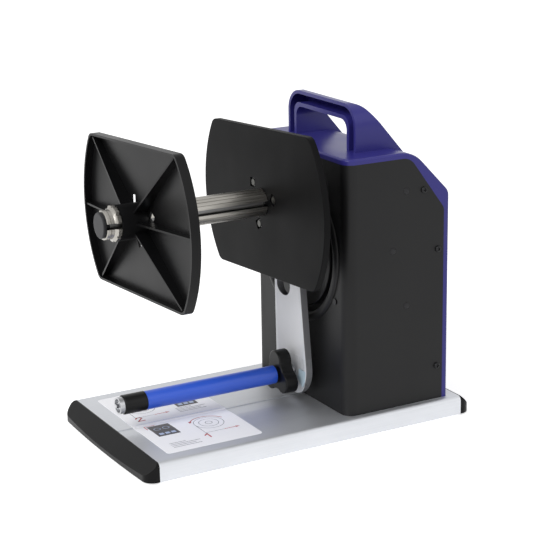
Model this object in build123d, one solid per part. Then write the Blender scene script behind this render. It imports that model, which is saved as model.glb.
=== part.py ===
"""Bench label rewinder: extruded base, motor housing with carrying handle, expanding core
spindle between two flanges, and a swinging tension arm with a guide roller.

Millimetres. X runs along the base and the spindle, from the free end (-X) to the housing (+X).
Z is up and the table is at Z = 0. Y = 0 is the plane of symmetry, and -Y is the front side.
"""
from build123d import *

import os
from math import acos, asin, atan, cos, degrees, pi, radians, sin, tan

# ---------------------------------------------------------------- fits
RUN_FIT = 0.05          # radial, a shaft turning in a bush or bearing
SLIDE_FIT = 0.15        # a key, tongue or flange that slides
SCREW_FIT = 0.1         # radial, a screw in its hole
CORE_FIT = 0.3          # radial, the outer flange sliding on the core shells
FACE_GAP = 0.3          # axial, between faces that turn past each other

# ---------------------------------------------------------------- base
BASE_LENGTH = 293.0
BASE_WIDTH = 173.3
BASE_HEIGHT = 16.2
BASE_EDGE_RADIUS = 4.2
BASE_WALL = 2.5
BASE_WEBS = 5
FOOT_HEIGHT = 2.7
FOOT_PROUD = 1.5
FOOT_RADIUS = 8.0
FOOT_INSET = 20.0
CREASE_Y = -4.0         # sharp side of the shallow step that runs along the deck
CREASE_DEPTH = 0.8
CREASE_RUN = 18.0
CAP_REACH = 13.5
CAP_BOW = 2.5             # how far the cap's outer edge bows out in plan
CAP_CORNER_RADIUS = 10.0
CAP_LIP_HEIGHT = 3.4    # upright strip left at the middle of the cap's outer edge
CAP_TONGUE = 8.0
STICKER_LENGTH = 88.0
STICKER_WIDTH = 144.0
STICKER_INSET = 14.5    # from the free end of the extrusion
STICKER_THICKNESS = 0.25
STICKER_CORNER_RADIUS = 3.0

# ---------------------------------------------------------------- housing
HOUSING_BACK_INSET = 9.6
HOUSING_DEPTH = 102.9
HOUSING_HALF_WIDTH = 78.6
HOUSING_WALL = 2.5
HOUSING_HEIGHT = 218.5          # of the black body, above the deck
HOUSING_CORNER_RADIUS = 10.0
COVER_BACK_DEPTH = 5.4          # how far the rear cover wraps round the back
COVER_RISE = 4.8                # how far the cover stands above the black body
BODY_SLOPE_TOP = 34.7           # from the back of the body to where its slope begins
BODY_SLOPE_HEIGHT = 47.0
COVER_SLOPE_TOP = 36.5
COVER_SLOPE_HEIGHT = 38.0
BODY_SLOPE_RADII = (14.0, 8.0)  # upper and lower bend
COVER_SLOPE_RADII = (30.0, 10.0)
COVER_EDGE_RADIUS = 2.2
FOOT_FLANGE = 12.0              # inner flange that is bolted to the deck
COVER_SCREWS = ((20.8, 29.1), (5.8, 82.7))      # ahead of the seam, below the body's top
LOW_COVER_SCREW = (5.8, 30.4)                   # ahead of the seam, above the deck
COVER_SCREW_REACH = 7.0
COVER_TAB_DEPTH = 7.0
COVER_TAB_HALF = 5.0
FRONT_SCREW_Y = 59.7
FRONT_SCREW_BELOW_PIVOT = 35.2
FRONT_SCREW_REACH = 6.0

# ---------------------------------------------------------------- carrying handle
HANDLE_SETBACK = 23.0           # of the handle's front from the housing's front
HANDLE_HALF_WIDTH = 56.0
HANDLE_RISE = 39.5              # above the cover's top
HANDLE_CORNER_RADIUS = 19.0
HANDLE_TOP_LENGTH = 10.0
HANDLE_TOP_RADIUS = 15.0
HANDLE_SLOPE = 49.5             # degrees below level
HANDLE_ROOT = 12.0              # how far the legs run down into the cover
HANDLE_GRIP = 14.0              # depth of the arch from outside to hand hole
HANDLE_RIM = 3.0
HANDLE_INNER_RIM = 3.5
HANDLE_GROOVE_WALL = 4.0        # left between the groove's floor and the slope
HAND_HOLE_RADIUS = 9.0

# ---------------------------------------------------------------- spindle
SPINDLE_HEIGHT = 177.8          # above the deck
SPINDLE_TURN = -3.5             # degrees, how far the flanges stand turned at rest
SHAFT_RADIUS = 6.0
CORE_SHAFT_RADIUS = 4.0
CORE_RADIUS = 12.0
SHELL_THICKNESS = 2.6
SHELL_GAP = 4.8
SHELL_TRAVEL = 2.0
SHELL_GROOVE = 0.5
CORE_TUBE_RADIUS = 7.2
CORE_STEP = 2.0                 # shaft's shoulder, ahead of the inner flange
KEY_THICKNESS = 2.0
CLAW_RADIUS = 15.3
CLAW_WAIST_RADIUS = 13.4
CLAW_LENGTH = 12.0
CLAW_LIP = 3.4
CLAW_SCALLOP = 2.6
LOCK_KNOB_RADIUS = 10.8
LOCK_KNOB_THICKNESS = 2.6
LOCK_STEM_LENGTH = 3.6
LOCK_JOURNAL_RADIUS = 3.0

# ---------------------------------------------------------------- flanges
FLANGE_RADIUS = 105.0
FLANGE_HALF_HEIGHT = 64.0
FLANGE_CORNER_RADIUS = 9.0
FLANGE_PLATE = 2.0
OUTER_RIM_DEPTH = 8.5
INNER_RIM_DEPTH = 5.5
FLANGE_RIM_WALL = 2.0
FLANGE_HUB_RADIUS = 15.0
FLANGE_HUB_LENGTH = 25.2
FLANGE_RIB = 1.6
FLANGE_RIB_HEIGHT = 14.0
FLANGE_WINDOW = 8.1             # side of the square windows round the hub
FLANGE_WINDOW_PCD = 41.5
FLANGE_WINDOW_ANGLE = 48.0      # of the first window, before the flange's own turn
ROLL_WIDTH = 110.1              # between the two flat faces
FLANGE_TO_HOUSING = 36.7        # inner flange's flat face to the housing's front
HUB_DISC_RADIUS = 28.0
HUB_DISC_THICKNESS = 3.0
HUB_DISC_BOSS = 7.0

# ---------------------------------------------------------------- drive
GEAR_MODULE = 1.0
GEAR_TEETH = 64
PINION_TEETH = 16
GEAR_WIDTH = 8.0
GEAR_BACKLASH = 0.2
PRESSURE_ANGLE = 20.0
MOTOR_DIRECTION = -30.0         # degrees, from the spindle to the motor's shaft
MOTOR_RADIUS = 20.0
MOTOR_LENGTH = 44.0
MOTOR_SHAFT_RADIUS = 2.5
MOTOR_SCREW_PCD = 30.0
BEARING_RADIUS = 14.0
BEARING_WIDTH = 8.0
PLATE_THICKNESS = 4.0
PLATE_SETBACK = 14.0            # of the front plate from the housing's front
PLATE_SPACING = 18.0            # between the two plates
PLATE_HALF_WIDTH = 63.5
PLATE_TOP_ABOVE_SPINDLE = 26.0
PLATE_FOOT = 14.0
PILLAR_RADIUS = 4.5
FRONT_POST_RADIUS = 4.0
BOSS_WALL = 4.0
BRACKET_THICKNESS = 2.0
BRACKET_BELOW_SPINDLE = 98.0
BRACKET_ABOVE_SPINDLE = 24.0
BRACKET_TO_SEAM = 29.5
BRACKET_LAP = 8.0               # of the folded leg on the rear plate
BRACKET_FOLD_BELOW_SPINDLE = 6.0
RIVETS = ((0.68, 12.6), (0.20, -37.6), (0.71, -87.7))   # share of the bracket's run, above the spindle

# ---------------------------------------------------------------- tension arm
PIVOT_BELOW_SPINDLE = 44.0
ARM_LENGTH = 110.3              # pivot to roller axis
ARM_LEAN = 4.2                  # degrees to the front side at rest
ARM_SWING = 30.0                # degrees, each way from upright
ARM_THICKNESS = 6.5
ARM_STANDOFF = 7.5              # arm's back to the housing's front
ARM_TOP_RADIUS = 20.5
ARM_END_RADIUS = 26.0
ARM_END_DROP = 6.0              # roller axis below the centre of the arm's round end
ARM_SEAM_ABOVE_ROLLER = 15.0
ARM_SCOOP_DEPTH = 1.3
ARM_SCOOP_WIDTH = 32.0
ARM_SCOOP_TILT = 0.8
ARM_HOLE_RADIUS = 10.0
ARM_HOLE_BELOW_PIVOT = 33.5
ARM_HOLE_OFFSET = 8.0
ARM_SHAFT_RADIUS = 5.0
ARM_BOSS_RADIUS = 11.0
ARM_SCREW_HEAD = 3.6
ARM_SCREW_SINK = 2.6
BUSH_WALL = 2.5
SPRING_WIRE = 1.2
SPRING_TURNS = 4
STOP_REACH = 14.0
STOP_PIN_RADIUS = 2.0
STOP_FINGER_HALF = 2.0

# ---------------------------------------------------------------- round bezel on the front
DISC_RADIUS = 52.3
DISC_THICKNESS = 5.0
DISC_PROUD = 0.7
GROOVE_RADIUS = 58.0
GROOVE_DEPTH = 5.0
BEZEL_RADIUS = 66.0
BEZEL_PROUD = 2.5
BEZEL_FLOOR = 2.5
BEZEL_SEAT = 5.0
PASSAGE_RADIUS = 14.0           # boss round the spindle's passage through the front
PASSAGE_PROUD = 1.5
PASSAGE_BORE = 9.0

# ---------------------------------------------------------------- guide roller and its knob
ROLLER_RADIUS = 8.0
ROLLER_BORE = 5.5
ROLLER_LENGTH = 124.0
ROLLER_END_LENGTH = 20.5
ROLLER_END_RADIUS = 8.3
AXLE_RADIUS = 3.0
AXLE_TIP_RADIUS = 1.8
AXLE_TIP_LENGTH = 3.0
RING_RADIUS = 7.2
RING_LENGTH = 3.0
KNOB_LOBE_RADIUS = 9.6
KNOB_LOBE_OFFSET = 11.7
KNOB_HUB_RADIUS = 13.0
KNOB_THICKNESS = 12.0
KNOB_STANDOFF = 4.3
KNOB_TO_ROLLER = 1.7

# ---------------------------------------------------------------- rear panel and electronics
SWITCH_HEIGHT = 34.0            # centre above the deck
SWITCH_Y = 38.0
SWITCH_LENGTH = 19.0
SWITCH_WIDTH = 13.0
SWITCH_BODY_DEPTH = 12.0
SWITCH_BEZEL = 2.0
SWITCH_BEZEL_THICKNESS = 1.6
ROCKER_TILT = 9.0
ROCKER_SINK = 3.0               # its pivot, inside the rear panel's face
ROCKER_PIN_RADIUS = 1.0
SWITCH_WALL = 1.5
INLET_Y = 12.0
INLET_RADIUS = 6.0
INLET_FLANGE_RADIUS = 8.5
INLET_DEPTH = 12.0
INLET_BORE = 3.2
BOARD_LENGTH = 46.0
BOARD_WIDTH = 90.0
BOARD_THICKNESS = 1.6
BOARD_HEIGHT = 8.0

# ---------------------------------------------------------------- screws
SMALL_SCREW_RADIUS = 1.5
SMALL_HEAD_RADIUS = 2.8
SMALL_HEAD_HEIGHT = 1.8
RIVET_SINK = 1.3
BOLT_RADIUS = 2.0
BOLT_HEAD_RADIUS = 3.5
BOLT_HEAD_HEIGHT = 2.4

# ---------------------------------------------------------------- worked-out places
UNDERSIDE = FOOT_PROUD
DECK = UNDERSIDE + BASE_HEIGHT
BASE_END = BASE_LENGTH / 2
HOUSING_BACK = BASE_END - HOUSING_BACK_INSET
HOUSING_FRONT = HOUSING_BACK - HOUSING_DEPTH
HOUSING_SEAM = HOUSING_BACK - COVER_BACK_DEPTH
BODY_TOP = DECK + HOUSING_HEIGHT
COVER_TOP = BODY_TOP + COVER_RISE
INNER_HALF_WIDTH = HOUSING_HALF_WIDTH - HOUSING_WALL
AXIS_Z = DECK + SPINDLE_HEIGHT
PIVOT_Z = AXIS_Z - PIVOT_BELOW_SPINDLE
ROLLER_Y = -ARM_LENGTH * sin(radians(ARM_LEAN))
ROLLER_Z = PIVOT_Z - ARM_LENGTH * cos(radians(ARM_LEAN))

INNER_FACE = HOUSING_FRONT - FLANGE_TO_HOUSING
OUTER_FACE = INNER_FACE - ROLL_WIDTH
CORE_TIP = OUTER_FACE - FLANGE_HUB_LENGTH - FACE_GAP - CLAW_LENGTH

FRONT_PLATE = HOUSING_FRONT + PLATE_SETBACK
REAR_PLATE = FRONT_PLATE + PLATE_THICKNESS + PLATE_SPACING
REAR_PLATE_BACK = REAR_PLATE + PLATE_THICKNESS
BRACKET_END = HOUSING_SEAM - BRACKET_TO_SEAM
GEAR_CENTRES = GEAR_MODULE * (GEAR_TEETH + PINION_TEETH) / 2
MOTOR_Y = GEAR_CENTRES * cos(radians(MOTOR_DIRECTION))
MOTOR_Z = AXIS_Z + GEAR_CENTRES * sin(radians(MOTOR_DIRECTION))
GEAR_START = FRONT_PLATE + PLATE_THICKNESS + (PLATE_SPACING - GEAR_WIDTH) / 2

ARM_BACK = HOUSING_FRONT - ARM_STANDOFF
ARM_FACE = ARM_BACK - ARM_THICKNESS
KNOB_BACK = ARM_FACE - KNOB_STANDOFF
KNOB_FACE = KNOB_BACK - KNOB_THICKNESS
ROLLER_START = KNOB_FACE - KNOB_TO_ROLLER
ROLLER_END = ROLLER_START - ROLLER_LENGTH
ROLLER_TIP = ROLLER_END - ROLLER_END_LENGTH
AXLE_TIP = ROLLER_TIP - RING_LENGTH

DISC_FACE = HOUSING_FRONT - DISC_PROUD
DISC_BACK = DISC_FACE + DISC_THICKNESS
SEAT_BACK = DISC_BACK + BEZEL_FLOOR


# ---------------------------------------------------------------- helpers
def rod(x0, x1, radius, y=0.0, z=0.0):
    """Cylinder along X between two stations."""
    return Pos((x0 + x1) / 2, y, z) * Rot(0, 90, 0) * Cylinder(radius, abs(x1 - x0))


def tube(x0, x1, radius, bore, y=0.0, z=0.0):
    low, high = sorted((x0, x1))
    return rod(low, high, radius, y, z) - rod(low - 1, high + 1, bore, y, z)


def block(x0, x1, y0, y1, z0, z1):
    centre = Pos((x0 + x1) / 2, (y0 + y1) / 2, (z0 + z1) / 2)
    return centre * Box(abs(x1 - x0), abs(y1 - y0), abs(z1 - z0))


def along_x(sketch, x0, x1, y=0.0, z=0.0):
    """Extrude a sketch drawn in Y and Z from station x0 to x1."""
    return Pos(min(x0, x1), y, z) * extrude(Plane.YZ * sketch, amount=abs(x1 - x0))


def across_y(points, half_width):
    """Prism of an outline in X and Z, centred on Y = 0."""
    outline = Plane.XZ * make_face(Polyline(*points, close=True))
    return extrude(outline, amount=half_width, both=True)


def upright(x, y, z0, z1, radius):
    return Pos(x, y, (z0 + z1) / 2) * Cylinder(radius, z1 - z0)


def on_spindle(shape):
    """Bring a shape drawn round the X axis to the spindle, at its resting turn."""
    return Pos(0, 0, AXIS_Z) * Rot(SPINDLE_TURN, 0, 0) * shape


def on_arm(shape):
    """Bring a shape drawn with the pivot at the X axis to the arm's resting place."""
    return Pos(0, 0, PIVOT_Z) * Rot(-ARM_LEAN, 0, 0) * shape


def pan_screw(x_seat, x_tip, radius, head_radius, head_height, y, z):
    """Screw along X, head on the side away from the tip."""
    away = -1 if x_tip > x_seat else 1
    head = rod(x_seat, x_seat + away * head_height, head_radius, y, z)
    return head + rod(x_seat, x_tip, radius, y, z)


def group(shapes):
    return Compound(children=[solid for shape in shapes for solid in shape.solids()])


# ---------------------------------------------------------------- base
def base_outline(grow=0.0):
    """Outer section of the base in Y and Z, raised by grow on top."""
    section = Pos(0, UNDERSIDE + BASE_HEIGHT / 2) * Rectangle(BASE_WIDTH, BASE_HEIGHT)
    top = section.vertices().group_by(Axis.Y)[-1]
    section = fillet(top, BASE_EDGE_RADIUS)
    step = make_face(Polyline(
        (CREASE_Y, DECK + 1), (CREASE_Y, DECK - CREASE_DEPTH),
        (CREASE_Y - CREASE_RUN, DECK), (CREASE_Y - CREASE_RUN, DECK + 1), close=True))
    section = section - step
    if grow:
        flat = BASE_WIDTH - 4 * BASE_EDGE_RADIUS
        strip = Pos(0, DECK - BASE_WALL / 2) * Rectangle(flat, 2 * BASE_WALL)
        section = (Pos(0, grow) * section + Pos(-grow, grow) * section - section) & strip
    return section


def base_cells():
    """The hollow cells inside the extrusion, as (centre, width) along Y."""
    inner = BASE_WIDTH - 2 * BASE_WALL
    width = (inner - BASE_WEBS * BASE_WALL) / (BASE_WEBS + 1)
    first = -inner / 2 + width / 2
    return [(first + n * (width + BASE_WALL), width) for n in range(BASE_WEBS + 1)]


def cell_prism(x0, x1, centre, width, shrink=0.0):
    height = BASE_HEIGHT - 2 * BASE_WALL - 2 * shrink
    section = Rectangle(width - 2 * shrink, height)
    section = fillet(section.vertices(), BASE_EDGE_RADIUS / 3)
    return along_x(section, x0, x1, centre, UNDERSIDE + BASE_HEIGHT / 2)


def foot_places():
    x = BASE_END - FOOT_INSET
    y = BASE_WIDTH / 2 - FOOT_INSET
    return [(sx * x, sy * y) for sx in (-1, 1) for sy in (-1, 1)]


def housing_bolt_places():
    y = INNER_HALF_WIDTH - FOOT_FLANGE / 2
    return [(x, side * y) for x in (HOUSING_FRONT + 28.0, HOUSING_SEAM - 16.0) for side in (-1, 1)]


def plate_bolt_places():
    y = PLATE_HALF_WIDTH - 14.0
    front = FRONT_PLATE - PLATE_FOOT / 2 + PLATE_THICKNESS / 2 + 1.0
    rear = REAR_PLATE_BACK + PLATE_FOOT / 2
    return [(front, -y), (front, y), (rear, -y), (rear, y)]


def make_base():
    body = along_x(base_outline(), -BASE_END, BASE_END)
    for centre, width in base_cells():
        body -= cell_prism(-BASE_END - 1, BASE_END + 1, centre, width)
    recess = FOOT_HEIGHT - FOOT_PROUD
    for x, y in foot_places():
        body -= upright(x, y, UNDERSIDE - 1, UNDERSIDE + recess, FOOT_RADIUS + SLIDE_FIT)
    for x, y in housing_bolt_places() + plate_bolt_places():
        body -= upright(x, y, DECK - BASE_WALL - 2, DECK + 1, BOLT_RADIUS + SCREW_FIT)
    return body


def make_feet():
    feet = []
    for x, y in foot_places():
        foot = upright(x, y, 0, FOOT_HEIGHT, FOOT_RADIUS)
        feet.append(chamfer(foot.edges().group_by(Axis.Z)[0], 0.6))
    return group(feet)


def make_end_cap(side):
    """Plastic cap whose top falls away from the deck to a low outer lip."""
    half = BASE_WIDTH / 2
    bow = (half ** 2 + CAP_BOW ** 2) / (2 * CAP_BOW)
    plan = Pos(CAP_REACH - 20, 0) * Rectangle(40, BASE_WIDTH) & Pos(CAP_REACH - bow, 0) * Circle(bow)
    plan = fillet(plan.vertices().group_by(Axis.X)[-1], CAP_CORNER_RADIUS)
    plan = plan & Pos(CAP_REACH, 0) * Rectangle(2 * CAP_REACH, 2 * BASE_WIDTH)
    cap = Pos(0, 0, UNDERSIDE) * extrude(plan, amount=BASE_HEIGHT)
    section = Pos(0, UNDERSIDE + BASE_HEIGHT / 2) * Rectangle(BASE_WIDTH, BASE_HEIGHT)
    section = fillet(section.vertices().group_by(Axis.Y)[-1], BASE_EDGE_RADIUS)
    cap = cap & along_x(section, -1, CAP_REACH + 1)
    wedge = across_y([
        (1.0, DECK + 5), (1.0, DECK), (CAP_REACH, UNDERSIDE + CAP_LIP_HEIGHT),
        (CAP_REACH + 5, UNDERSIDE + CAP_LIP_HEIGHT - 4.0), (CAP_REACH + 5, DECK + 5)], half + 1)
    cap = cap - wedge
    for centre, width in base_cells():
        cap += cell_prism(-CAP_TONGUE, 0.5, centre, width, SLIDE_FIT)
    if side < 0:
        cap = Rot(0, 0, 180) * cap
    return Pos(side * BASE_END, 0, 0) * cap


def make_sticker():
    """Thin printed sheet that follows the deck over its shallow step."""
    x0 = -BASE_END + STICKER_INSET
    sheet = along_x(base_outline(STICKER_THICKNESS), x0, x0 + STICKER_LENGTH)
    plan = RectangleRounded(STICKER_LENGTH, STICKER_WIDTH, STICKER_CORNER_RADIUS)
    cutter = Pos(x0 + STICKER_LENGTH / 2, 0, DECK - 3) * extrude(plan, amount=6)
    return sheet & cutter


# ---------------------------------------------------------------- housing
def slope_outline(front, back, top, run, drop, radii, low, inset=0.0):
    """Side outline in X and Z: level top, rounded slope down to the back, upright back."""
    slope = atan(drop / run)
    shift = inset * tan((pi / 2 - slope) / 2)
    rise = inset * tan(slope / 2)
    x_back = back - inset
    z_top = top - inset
    break_top = (back - run - rise, z_top)
    break_back = (x_back, top - drop - shift)
    points = [(front, low), (front, z_top), break_top, break_back, (x_back, low)]
    face = make_face(Polyline(*points, close=True))
    upper = face.vertices().sort_by_distance(Vertex(*break_top, 0))[0]
    face = fillet(upper, radii[0] - inset)
    lower = face.vertices().sort_by_distance(Vertex(*break_back, 0))[0]
    return fillet(lower, radii[1] - inset)


def side_prism(outline, half_width):
    return extrude(Plane.XZ * outline, amount=half_width, both=True)


def body_prism(half_width, inset=0.0, low=DECK):
    outline = slope_outline(HOUSING_FRONT + inset, HOUSING_SEAM, BODY_TOP, BODY_SLOPE_TOP,
                            BODY_SLOPE_HEIGHT, BODY_SLOPE_RADII, low)
    return side_prism(outline, half_width)


def cover_prism(half_width, inset=0.0, low=DECK):
    outline = slope_outline(HOUSING_FRONT + inset, HOUSING_BACK, COVER_TOP, COVER_SLOPE_TOP,
                            COVER_SLOPE_HEIGHT, COVER_SLOPE_RADII, low, inset)
    return side_prism(outline, half_width)


def plan_prism(inset):
    """The housing's footprint, with rounded upright corners, as a tall prism."""
    x0 = HOUSING_FRONT + inset
    x1 = HOUSING_BACK - inset
    half = HOUSING_HALF_WIDTH - inset
    plan = Pos((x0 + x1) / 2, 0) * Rectangle(x1 - x0, 2 * half)
    front = plan.vertices().group_by(Axis.X)[0]
    plan = fillet(front, HOUSING_CORNER_RADIUS - inset)
    return extrude(plan, amount=2 * COVER_TOP)


def cover_screw_places():
    """Bright screws on each side, as (x, z)."""
    ahead, height = LOW_COVER_SCREW
    upper = [(HOUSING_SEAM - before, BODY_TOP - below) for before, below in COVER_SCREWS]
    return upper + [(HOUSING_SEAM - ahead, DECK + height)]


def rivet_places():
    """Dark rivets on each side, as (x, z)."""
    run = BRACKET_END - REAR_PLATE_BACK
    return [(REAR_PLATE_BACK + share * run, AXIS_Z + above) for share, above in RIVETS]


def side_drill(x, z):
    """Screw hole through both sides."""
    return Pos(x, 0, z) * Rot(90, 0, 0) * Cylinder(SMALL_SCREW_RADIUS + SCREW_FIT, 4 * HOUSING_HALF_WIDTH)


def front_screw_places():
    """Screws through the front wall, as (y, z)."""
    return [(side * FRONT_SCREW_Y, PIVOT_Z - FRONT_SCREW_BELOW_PIVOT) for side in (-1, 1)]


def disc_screw_places():
    radius = GROOVE_RADIUS - GROOVE_DEPTH - BEZEL_SEAT / 2 - 0.5
    return [(radius * cos(radians(a)), PIVOT_Z + radius * sin(radians(a))) for a in (-30, 150, 210)]


def make_housing_body():
    """Black front and sides, open at the back, the top and the slope."""
    outer = body_prism(HOUSING_HALF_WIDTH) & plan_prism(0)
    inner = body_prism(INNER_HALF_WIDTH, HOUSING_WALL, DECK - 1)
    inner = inner & plan_prism(HOUSING_WALL)
    opening = block(HOUSING_FRONT + HOUSING_WALL + HOUSING_CORNER_RADIUS, HOUSING_SEAM + 1,
                    -INNER_HALF_WIDTH, INNER_HALF_WIDTH, DECK - 1, COVER_TOP + 1)
    rim = block(HOUSING_FRONT + HOUSING_WALL, HOUSING_SEAM + 1,
                -INNER_HALF_WIDTH, INNER_HALF_WIDTH, BODY_TOP - 1, COVER_TOP + 1) & plan_prism(HOUSING_WALL)
    body = outer - inner - opening - rim

    bead_middle = (GROOVE_RADIUS + BEZEL_RADIUS) / 2
    bead_half = (BEZEL_RADIUS - GROOVE_RADIUS) / 2
    bead = scale(Rot(0, 90, 0) * Torus(bead_middle, bead_half), by=(BEZEL_PROUD / bead_half, 1, 1))
    bead = Pos(HOUSING_FRONT, 0, PIVOT_Z) * bead
    body += bead & rod(HOUSING_FRONT - BEZEL_PROUD - 1, HOUSING_FRONT + 0.2, BEZEL_RADIUS + 1, 0, PIVOT_Z)
    body += rod(HOUSING_FRONT + HOUSING_WALL / 2, SEAT_BACK, GROOVE_RADIUS + HOUSING_WALL, 0, PIVOT_Z)
    body -= rod(HOUSING_FRONT - BEZEL_PROUD - 1, HOUSING_FRONT + GROOVE_DEPTH, GROOVE_RADIUS, 0, PIVOT_Z)
    seat_bore = GROOVE_RADIUS - GROOVE_DEPTH - BEZEL_SEAT
    body -= rod(HOUSING_FRONT, SEAT_BACK + 1, seat_bore, 0, PIVOT_Z)
    body -= rod(HOUSING_FRONT, DISC_BACK, DISC_RADIUS + SLIDE_FIT, 0, PIVOT_Z)
    body += rod(HOUSING_FRONT - PASSAGE_PROUD, SEAT_BACK, PASSAGE_RADIUS, 0, AXIS_Z)
    body -= rod(HOUSING_FRONT - PASSAGE_PROUD - 1, SEAT_BACK + 1, PASSAGE_BORE, 0, AXIS_Z)

    for side in (-1, 1):
        y0, y1 = sorted((side * INNER_HALF_WIDTH, side * (INNER_HALF_WIDTH - FOOT_FLANGE)))
        x0 = HOUSING_FRONT + HOUSING_CORNER_RADIUS + 8
        body += block(x0, HOUSING_SEAM - 4, y0, y1, DECK, DECK + HOUSING_WALL)
    for x, y in housing_bolt_places():
        body -= upright(x, y, DECK - 1, DECK + HOUSING_WALL + 1, BOLT_RADIUS + SCREW_FIT)
    for x, z in cover_screw_places() + rivet_places():
        body -= side_drill(x, z)
    for x, z in rivet_places():
        for side in (-1, 1):
            seat = Pos(x, side * HOUSING_HALF_WIDTH, z) * Rot(90, 0, 0)
            body -= seat * Cylinder(SMALL_HEAD_RADIUS + SCREW_FIT, 2 * RIVET_SINK)
    for y, z in front_screw_places():
        body -= rod(HOUSING_FRONT - 1, HOUSING_FRONT + HOUSING_WALL + 1, SMALL_SCREW_RADIUS + SCREW_FIT, y, z)
    for y, z in disc_screw_places():
        body -= rod(DISC_BACK - 1, SEAT_BACK + 1, SMALL_SCREW_RADIUS + SCREW_FIT, y, z)
    return body


def handle_section(shrink, low):
    """Arch section in Y and Z, drawn in from the outer surface by shrink."""
    half = HANDLE_HALF_WIDTH - shrink
    top = COVER_TOP + HANDLE_RISE - shrink
    section = Pos(0, (low + top) / 2) * Rectangle(2 * half, top - low)
    upper = section.vertices().group_by(Axis.Y)[-1]
    radius = max(HANDLE_CORNER_RADIUS - shrink, HAND_HOLE_RADIUS)
    return fillet(upper, radius)


def handle_profile(setback):
    """Side profile of the handle, its slope brought forward by setback."""
    front = HOUSING_FRONT + HANDLE_SETBACK
    top = COVER_TOP + HANDLE_RISE
    low = COVER_TOP - HANDLE_ROOT
    run = (top - low) / tan(radians(HANDLE_SLOPE))
    brow = front + HANDLE_TOP_LENGTH - setback
    face = make_face(Polyline(
        (front, low), (front, top), (brow, top), (brow + run, low), close=True))
    bend = face.vertices().sort_by_distance(Vertex(brow, top, 0))[0]
    return fillet(bend, HANDLE_TOP_RADIUS - setback)


def make_cover():
    """Coloured rear and top cover with the carrying handle, one moulding."""
    front = HOUSING_FRONT + HANDLE_SETBACK
    back = HOUSING_BACK + 20.0
    root = COVER_TOP - HANDLE_ROOT

    skin = cover_prism(HOUSING_HALF_WIDTH) & plan_prism(0)
    corner = HOUSING_FRONT + HOUSING_CORNER_RADIUS
    side_edges = [e for e in skin.edges() if abs(abs(e.center().Y) - HOUSING_HALF_WIDTH) < 0.01
                  and e.center().X > corner + 1 and e.center().Z > DECK + 1]
    front_edges = [e for e in skin.edges() if e.center().X < corner and e.bounding_box().min.Z > COVER_TOP - 0.01]
    skin = fillet(side_edges + front_edges, COVER_EDGE_RADIUS)

    arch = along_x(handle_section(0, root), front, back) & side_prism(handle_profile(0), HANDLE_HALF_WIDTH + 1)
    ring = handle_section(HANDLE_RIM, COVER_TOP) - handle_section(HANDLE_GRIP - HANDLE_INNER_RIM, COVER_TOP - 1)
    groove = along_x(ring, front - 1, back) & side_prism(handle_profile(HANDLE_GROOVE_WALL), HANDLE_HALF_WIDTH)
    arch = arch - groove - along_x(ring, front - 1, front + 1)
    arch = arch - along_x(handle_section(HANDLE_GRIP, root - 1), front - 1, back)

    keep_out = body_prism(HOUSING_HALF_WIDTH + 1, -1, DECK - 1)
    cavity = cover_prism(INNER_HALF_WIDTH, HOUSING_WALL, DECK - 1) & plan_prism(HOUSING_WALL)
    cover = skin + arch - keep_out - cavity

    for side in (-1, 1):
        for x, z in cover_screw_places():
            y0, y1 = sorted((side * (INNER_HALF_WIDTH - SLIDE_FIT), side * (INNER_HALF_WIDTH - COVER_TAB_DEPTH)))
            tab = block(x - COVER_TAB_HALF, HOUSING_BACK, y0, y1, z - COVER_TAB_HALF, z + COVER_TAB_HALF)
            cover += tab & cover_prism(HOUSING_HALF_WIDTH, HOUSING_WALL / 2)
    for x, z in cover_screw_places():
        cover -= side_drill(x, z)
    cut = block(HOUSING_SEAM, HOUSING_BACK + 1, SWITCH_Y - SWITCH_WIDTH / 2 - SLIDE_FIT,
                SWITCH_Y + SWITCH_WIDTH / 2 + SLIDE_FIT, DECK + SWITCH_HEIGHT - SWITCH_LENGTH / 2 - SLIDE_FIT,
                DECK + SWITCH_HEIGHT + SWITCH_LENGTH / 2 + SLIDE_FIT)
    cover -= cut
    cover -= rod(HOUSING_SEAM, HOUSING_BACK + 1, INLET_RADIUS + SLIDE_FIT, INLET_Y, DECK + SWITCH_HEIGHT)
    return cover


def side_screw(side, x, z, reach, flush=0.0):
    """Pan-head screw through a side wall, pointing inwards."""
    y = HOUSING_HALF_WIDTH - flush
    head = Rot(90, 0, 0) * Cylinder(SMALL_HEAD_RADIUS, SMALL_HEAD_HEIGHT)
    shank = Rot(90, 0, 0) * Cylinder(SMALL_SCREW_RADIUS, reach)
    return Pos(x, side * (y + SMALL_HEAD_HEIGHT / 2), z) * head + Pos(x, side * (y - reach / 2), z) * shank


# ---------------------------------------------------------------- chassis and drive
def make_plate(x, foot_side, extra):
    """Bearing plate with a foot folded onto the deck."""
    top = AXIS_Z + PLATE_TOP_ABOVE_SPINDLE
    section = Pos(0, (DECK + top) / 2) * Rectangle(2 * PLATE_HALF_WIDTH, top - DECK)
    section = fillet(section.vertices().group_by(Axis.Y)[-1], 18)
    plate = along_x(section, x, x + PLATE_THICKNESS)
    if foot_side < 0:
        plate += block(x - PLATE_FOOT + PLATE_THICKNESS, x + 1, -PLATE_HALF_WIDTH, PLATE_HALF_WIDTH,
                       DECK, DECK + PLATE_THICKNESS)
    else:
        plate += block(x + 1, x + PLATE_THICKNESS + PLATE_FOOT, -PLATE_HALF_WIDTH, PLATE_HALF_WIDTH,
                       DECK, DECK + PLATE_THICKNESS)
    for bolt_x, bolt_y in plate_bolt_places():
        plate -= upright(bolt_x, bolt_y, DECK - 1, DECK + PLATE_THICKNESS + 1, BOLT_RADIUS + SCREW_FIT)
    return extra(plate)


def pillar_places():
    y = PLATE_HALF_WIDTH - 12.0
    return [(side * y, z) for side in (-1, 1) for z in (DECK + 40.0, AXIS_Z + 6.0)]


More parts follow.
